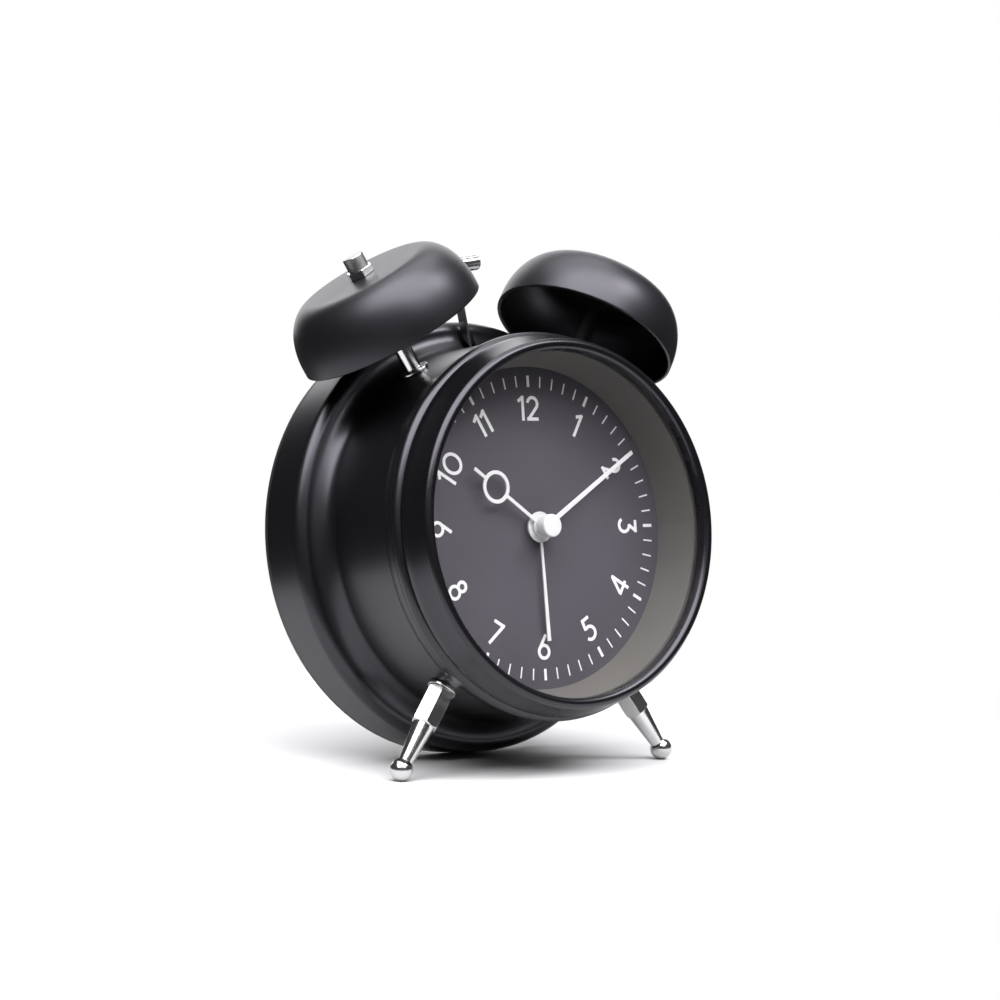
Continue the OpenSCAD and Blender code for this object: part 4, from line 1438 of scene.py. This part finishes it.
@dataclass
class Power:
    """The battery cell, its contact and its spring."""

    cell_long: float = 49.0
    cell_radius: float = 7.1
    cell_depth: float = 0.0
    cell_height: float = -28.15
    bay_half: float = 27.9
    wire: float = 0.35
    spring_turns: float = 3.5
    spring_wide: float = 4.6
    spring_narrow: float = 2.6
    contact_edge: float = 0.1
    end_inset: float = 0.3
    roll: float = 0.7
    flat_edge: float = 1.5
    plus_radius: float = 2.7
    plus_height: float = 1.2
    plus_chamfer: float = 0.25

    def cell(self) -> Form:
        """Returns the cell, with its sleeve rolled over its ends and a raised plus end."""
        r, half = self.cell_radius, self.cell_long / 2
        inset, roll, flat = self.end_inset, self.roll, r - self.flat_edge
        plus, tip, chamfer = self.plus_radius, half + self.plus_height, self.plus_chamfer
        profile = [
            (0, -half + inset), (flat, -half + inset),
            *arc(r - roll, -half + roll, roll, -90, 0, 8), *arc(r - roll, half - roll, roll, 0, 90, 8),
            (flat, half - inset), (plus, half - inset), (plus, tip - chamfer), (plus - chamfer, tip),
            (0, tip),
        ]
        return turned(profile, 72, closed=False)

    def build(self, shop: Workshop) -> None:
        """Makes the cell and the spring.

        Args:
            shop: The workshop.
        """
        across = Matrix.Rotation(math.pi / 2, 4, "Y")
        where = Matrix.Translation((0, self.cell_depth, self.cell_height))
        shop.piece("battery_fine", self.cell().placed(where @ across), Look.SLEEVE, replaces=("battery",))
        start = -self.bay_half + self.wire + 0.05
        gap = self.bay_half - self.cell_long / 2 - 2 * self.wire - 0.1
        place = Matrix.Translation((start, self.cell_depth, self.cell_height)) @ across
        shop.grown(
            "battery_spring_fine", coil_recipe("battery_spring", shop.paints[Look.STEEL]),
            {
                "Turns": self.spring_turns, "Start radius": self.spring_wide,
                "End radius": self.spring_narrow, "Height": gap, "Wire": self.wire,
            },
            Look.STEEL, place=place, replaces=("battery_spring",), sharp=60,
        )
        shop.refined("battery_contact", Look.STEEL, edge=self.contact_edge, steps=2)


@dataclass
class Movement:
    """The works inside the case, which keep their CAD shapes."""

    finishes: dict[str, Look] = field(default_factory=lambda: {
        "movement_case": Look.WHITE, "movement_cover": Look.WHITE, "circuit_board": Look.BOARD,
        "stator": Look.STEEL, "coil": Look.COPPER, "rotor": Look.STEEL, "step_wheel": Look.BRASS,
        "centre_wheel": Look.BRASS, "minute_arbor": Look.STEEL, "motion_wheel": Look.IVORY,
        "hour_wheel": Look.IVORY, "alarm_wheel": Look.IVORY, "time_set_shaft": Look.IVORY,
        "alarm_set_shaft": Look.IVORY, "movement_screws": Look.STEEL, "cover_brackets": Look.STEEL,
        "post_lock_nuts": Look.STEEL, "leg_lock_nuts": Look.STEEL, "ring_bracket": Look.STEEL,
        "bracket_screws": Look.STEEL, "ring_motor": Look.STEEL, "motor_pinion": Look.BRASS,
        "crank_gear": Look.IVORY, "hammer_pivot": Look.STEEL,
    })

    def build(self, shop: Workshop) -> None:
        """Dresses the works.

        Args:
            shop: The workshop.
        """
        shop.dress(self.finishes)


# ------------------------------------------------------------------ studio


@dataclass(frozen=True)
class SoftBox:
    """A rectangular light that faces the clock.

    Attributes:
        name: The light's name.
        azimuth: Direction from the clock, in degrees from behind it towards its right.
        elevation: Height of that direction, in degrees.
        distance: Metres from the clock.
        size: Its sides, in metres.
        radiance: How bright its face is.
    """

    name: str
    azimuth: float
    elevation: float
    distance: float
    size: tuple[float, float]
    radiance: float

    def build(self, target: Vector) -> bpy.types.Object:
        """Makes the light.

        Args:
            target: What it faces.

        Returns:
            The light's object.
        """
        lamp = bpy.data.lights.new(self.name, "AREA")
        lamp.shape = "RECTANGLE"
        lamp.size, lamp.size_y = self.size
        lamp.color = LAMP_COLOUR
        lamp.energy = self.radiance * math.pi * self.size[0] * self.size[1]
        made = bpy.data.objects.new(self.name, lamp)
        bpy.context.scene.collection.objects.link(made)
        azimuth, elevation = math.radians(self.azimuth), math.radians(self.elevation)
        way = Vector((
            math.sin(azimuth) * math.cos(elevation), math.cos(azimuth) * math.cos(elevation),
            math.sin(elevation),
        ))
        turn = way.to_track_quat("Z", "Y").to_matrix().to_4x4()
        made.matrix_world = Matrix.Translation(target + way * self.distance) @ turn
        made.visible_camera = False
        return made


@dataclass
class Studio:
    """The floor, lights, surroundings and camera.

    Attributes:
        target: What the lights face, in metres.
        lens: The camera's focal length, in millimetres.
        sensor: The camera's sensor width, in millimetres.
        nearest: Nearest distance that the camera sees, in metres.
        floor_radius: Radius of the floor, in metres.
        floor_look: The floor's finish.
        camera_at: Where the camera stands, in metres.
        camera_right: The camera's direction to the right.
        camera_back: The camera's direction backwards.
        boxes: The lights.
    """

    target: Vector = field(default_factory=lambda: Vector((0, 0, 0.08)))
    lens: float = 103.337
    sensor: float = 36.0
    nearest: float = 0.01
    floor_radius: float = 0.2
    floor_look: Finish = Finish(
        "pale_floor", (0.56, 0.56, 0.56), 0.9, Grain.PRINTED, tone_spread=0.0, specular=0.1
    )
    camera_at: Vector = field(default_factory=lambda: Vector((-0.49329, -0.6166, 0.118)))
    camera_right: Vector = field(default_factory=lambda: Vector((0.78296, -0.62108, 0.03519)))
    camera_back: Vector = field(default_factory=lambda: Vector((-0.62202, -0.78088, 0.0576)))
    boxes: tuple[SoftBox, ...] = (
        SoftBox("key", -146, 58, 1.2, (1.9, 1.1), 8.5),
        SoftBox("top", 20, 80, 1.3, (1.3, 1.0), 3.1),
        SoftBox("side", 138, 48, 1.2, (0.42, 0.34), 14.0),
        SoftBox("behind", 30, 22, 1.6, (1.7, 1.2), 2.2),
    )

    def surroundings(self) -> None:
        """Makes a white backdrop for the camera and a dim room for everything else."""
        world = bpy.data.worlds.new("studio")
        bpy.context.scene.world = world
        world.use_nodes = True
        tree = world.node_tree
        tree.nodes.clear()
        room = tree.nodes.new("ShaderNodeBackground")
        room.inputs["Color"].default_value = ROOM_COLOUR
        backdrop = tree.nodes.new("ShaderNodeBackground")
        backdrop.inputs["Color"].default_value = BACKDROP_COLOUR
        ray = tree.nodes.new("ShaderNodeLightPath")
        mix = tree.nodes.new("ShaderNodeMixShader")
        output = tree.nodes.new("ShaderNodeOutputWorld")
        tree.links.new(ray.outputs["Is Camera Ray"], mix.inputs["Fac"])
        tree.links.new(room.outputs[0], mix.inputs[1])
        tree.links.new(backdrop.outputs[0], mix.inputs[2])
        tree.links.new(mix.outputs[0], output.inputs["Surface"])

    def floor(self) -> None:
        """Makes the plain pale floor."""
        mesh = bpy.data.meshes.new("floor")
        rim = [(x, y, 0) for x, y in arc(0, 0, self.floor_radius, 0, 360, 96)[:-1]]
        mesh.from_pydata(rim, [], [list(range(len(rim)))])
        made = bpy.data.objects.new("floor", mesh)
        bpy.context.scene.collection.objects.link(made)
        mesh.materials.append(self.floor_look.build())

    def camera(self) -> None:
        """Makes the camera and sets it."""
        data = bpy.data.cameras.new("camera")
        data.lens = self.lens
        data.sensor_width = self.sensor
        data.clip_start = self.nearest
        made = bpy.data.objects.new("camera", data)
        right, back = self.camera_right.normalized(), self.camera_back.normalized()
        turn = Matrix((right, back.cross(right), back)).transposed().to_4x4()
        made.matrix_world = Matrix.Translation(self.camera_at) @ turn
        bpy.context.scene.collection.objects.link(made)
        bpy.context.scene.camera = made

    def build(self) -> None:
        """Makes the studio."""
        self.camera()
        self.surroundings()
        self.floor()
        for box in self.boxes:
            box.build(self.target)
        bpy.context.scene.view_settings.view_transform = "Standard"


def main() -> None:
    """Builds the clock's looks around its frame."""
    logging.basicConfig(level=logging.INFO, format="%(message)s")
    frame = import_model()
    Studio().build()
    shop = Workshop(frame, ClockAxes(frame), Paintbox())
    low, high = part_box("battery")
    middle = shop.axes.place.inverted() @ ((low + high) / 2)
    parts = (
        Case(), Front(), Hands(), Bells(), Legs(), Hammer(), Rear(), Power(cell_depth=middle.y),
        Movement(),
    )
    for part in parts:
        LOG.info("Making the %s", type(part).__name__.lower())
        part.build(shop)


if __name__ == "__main__":
    main()
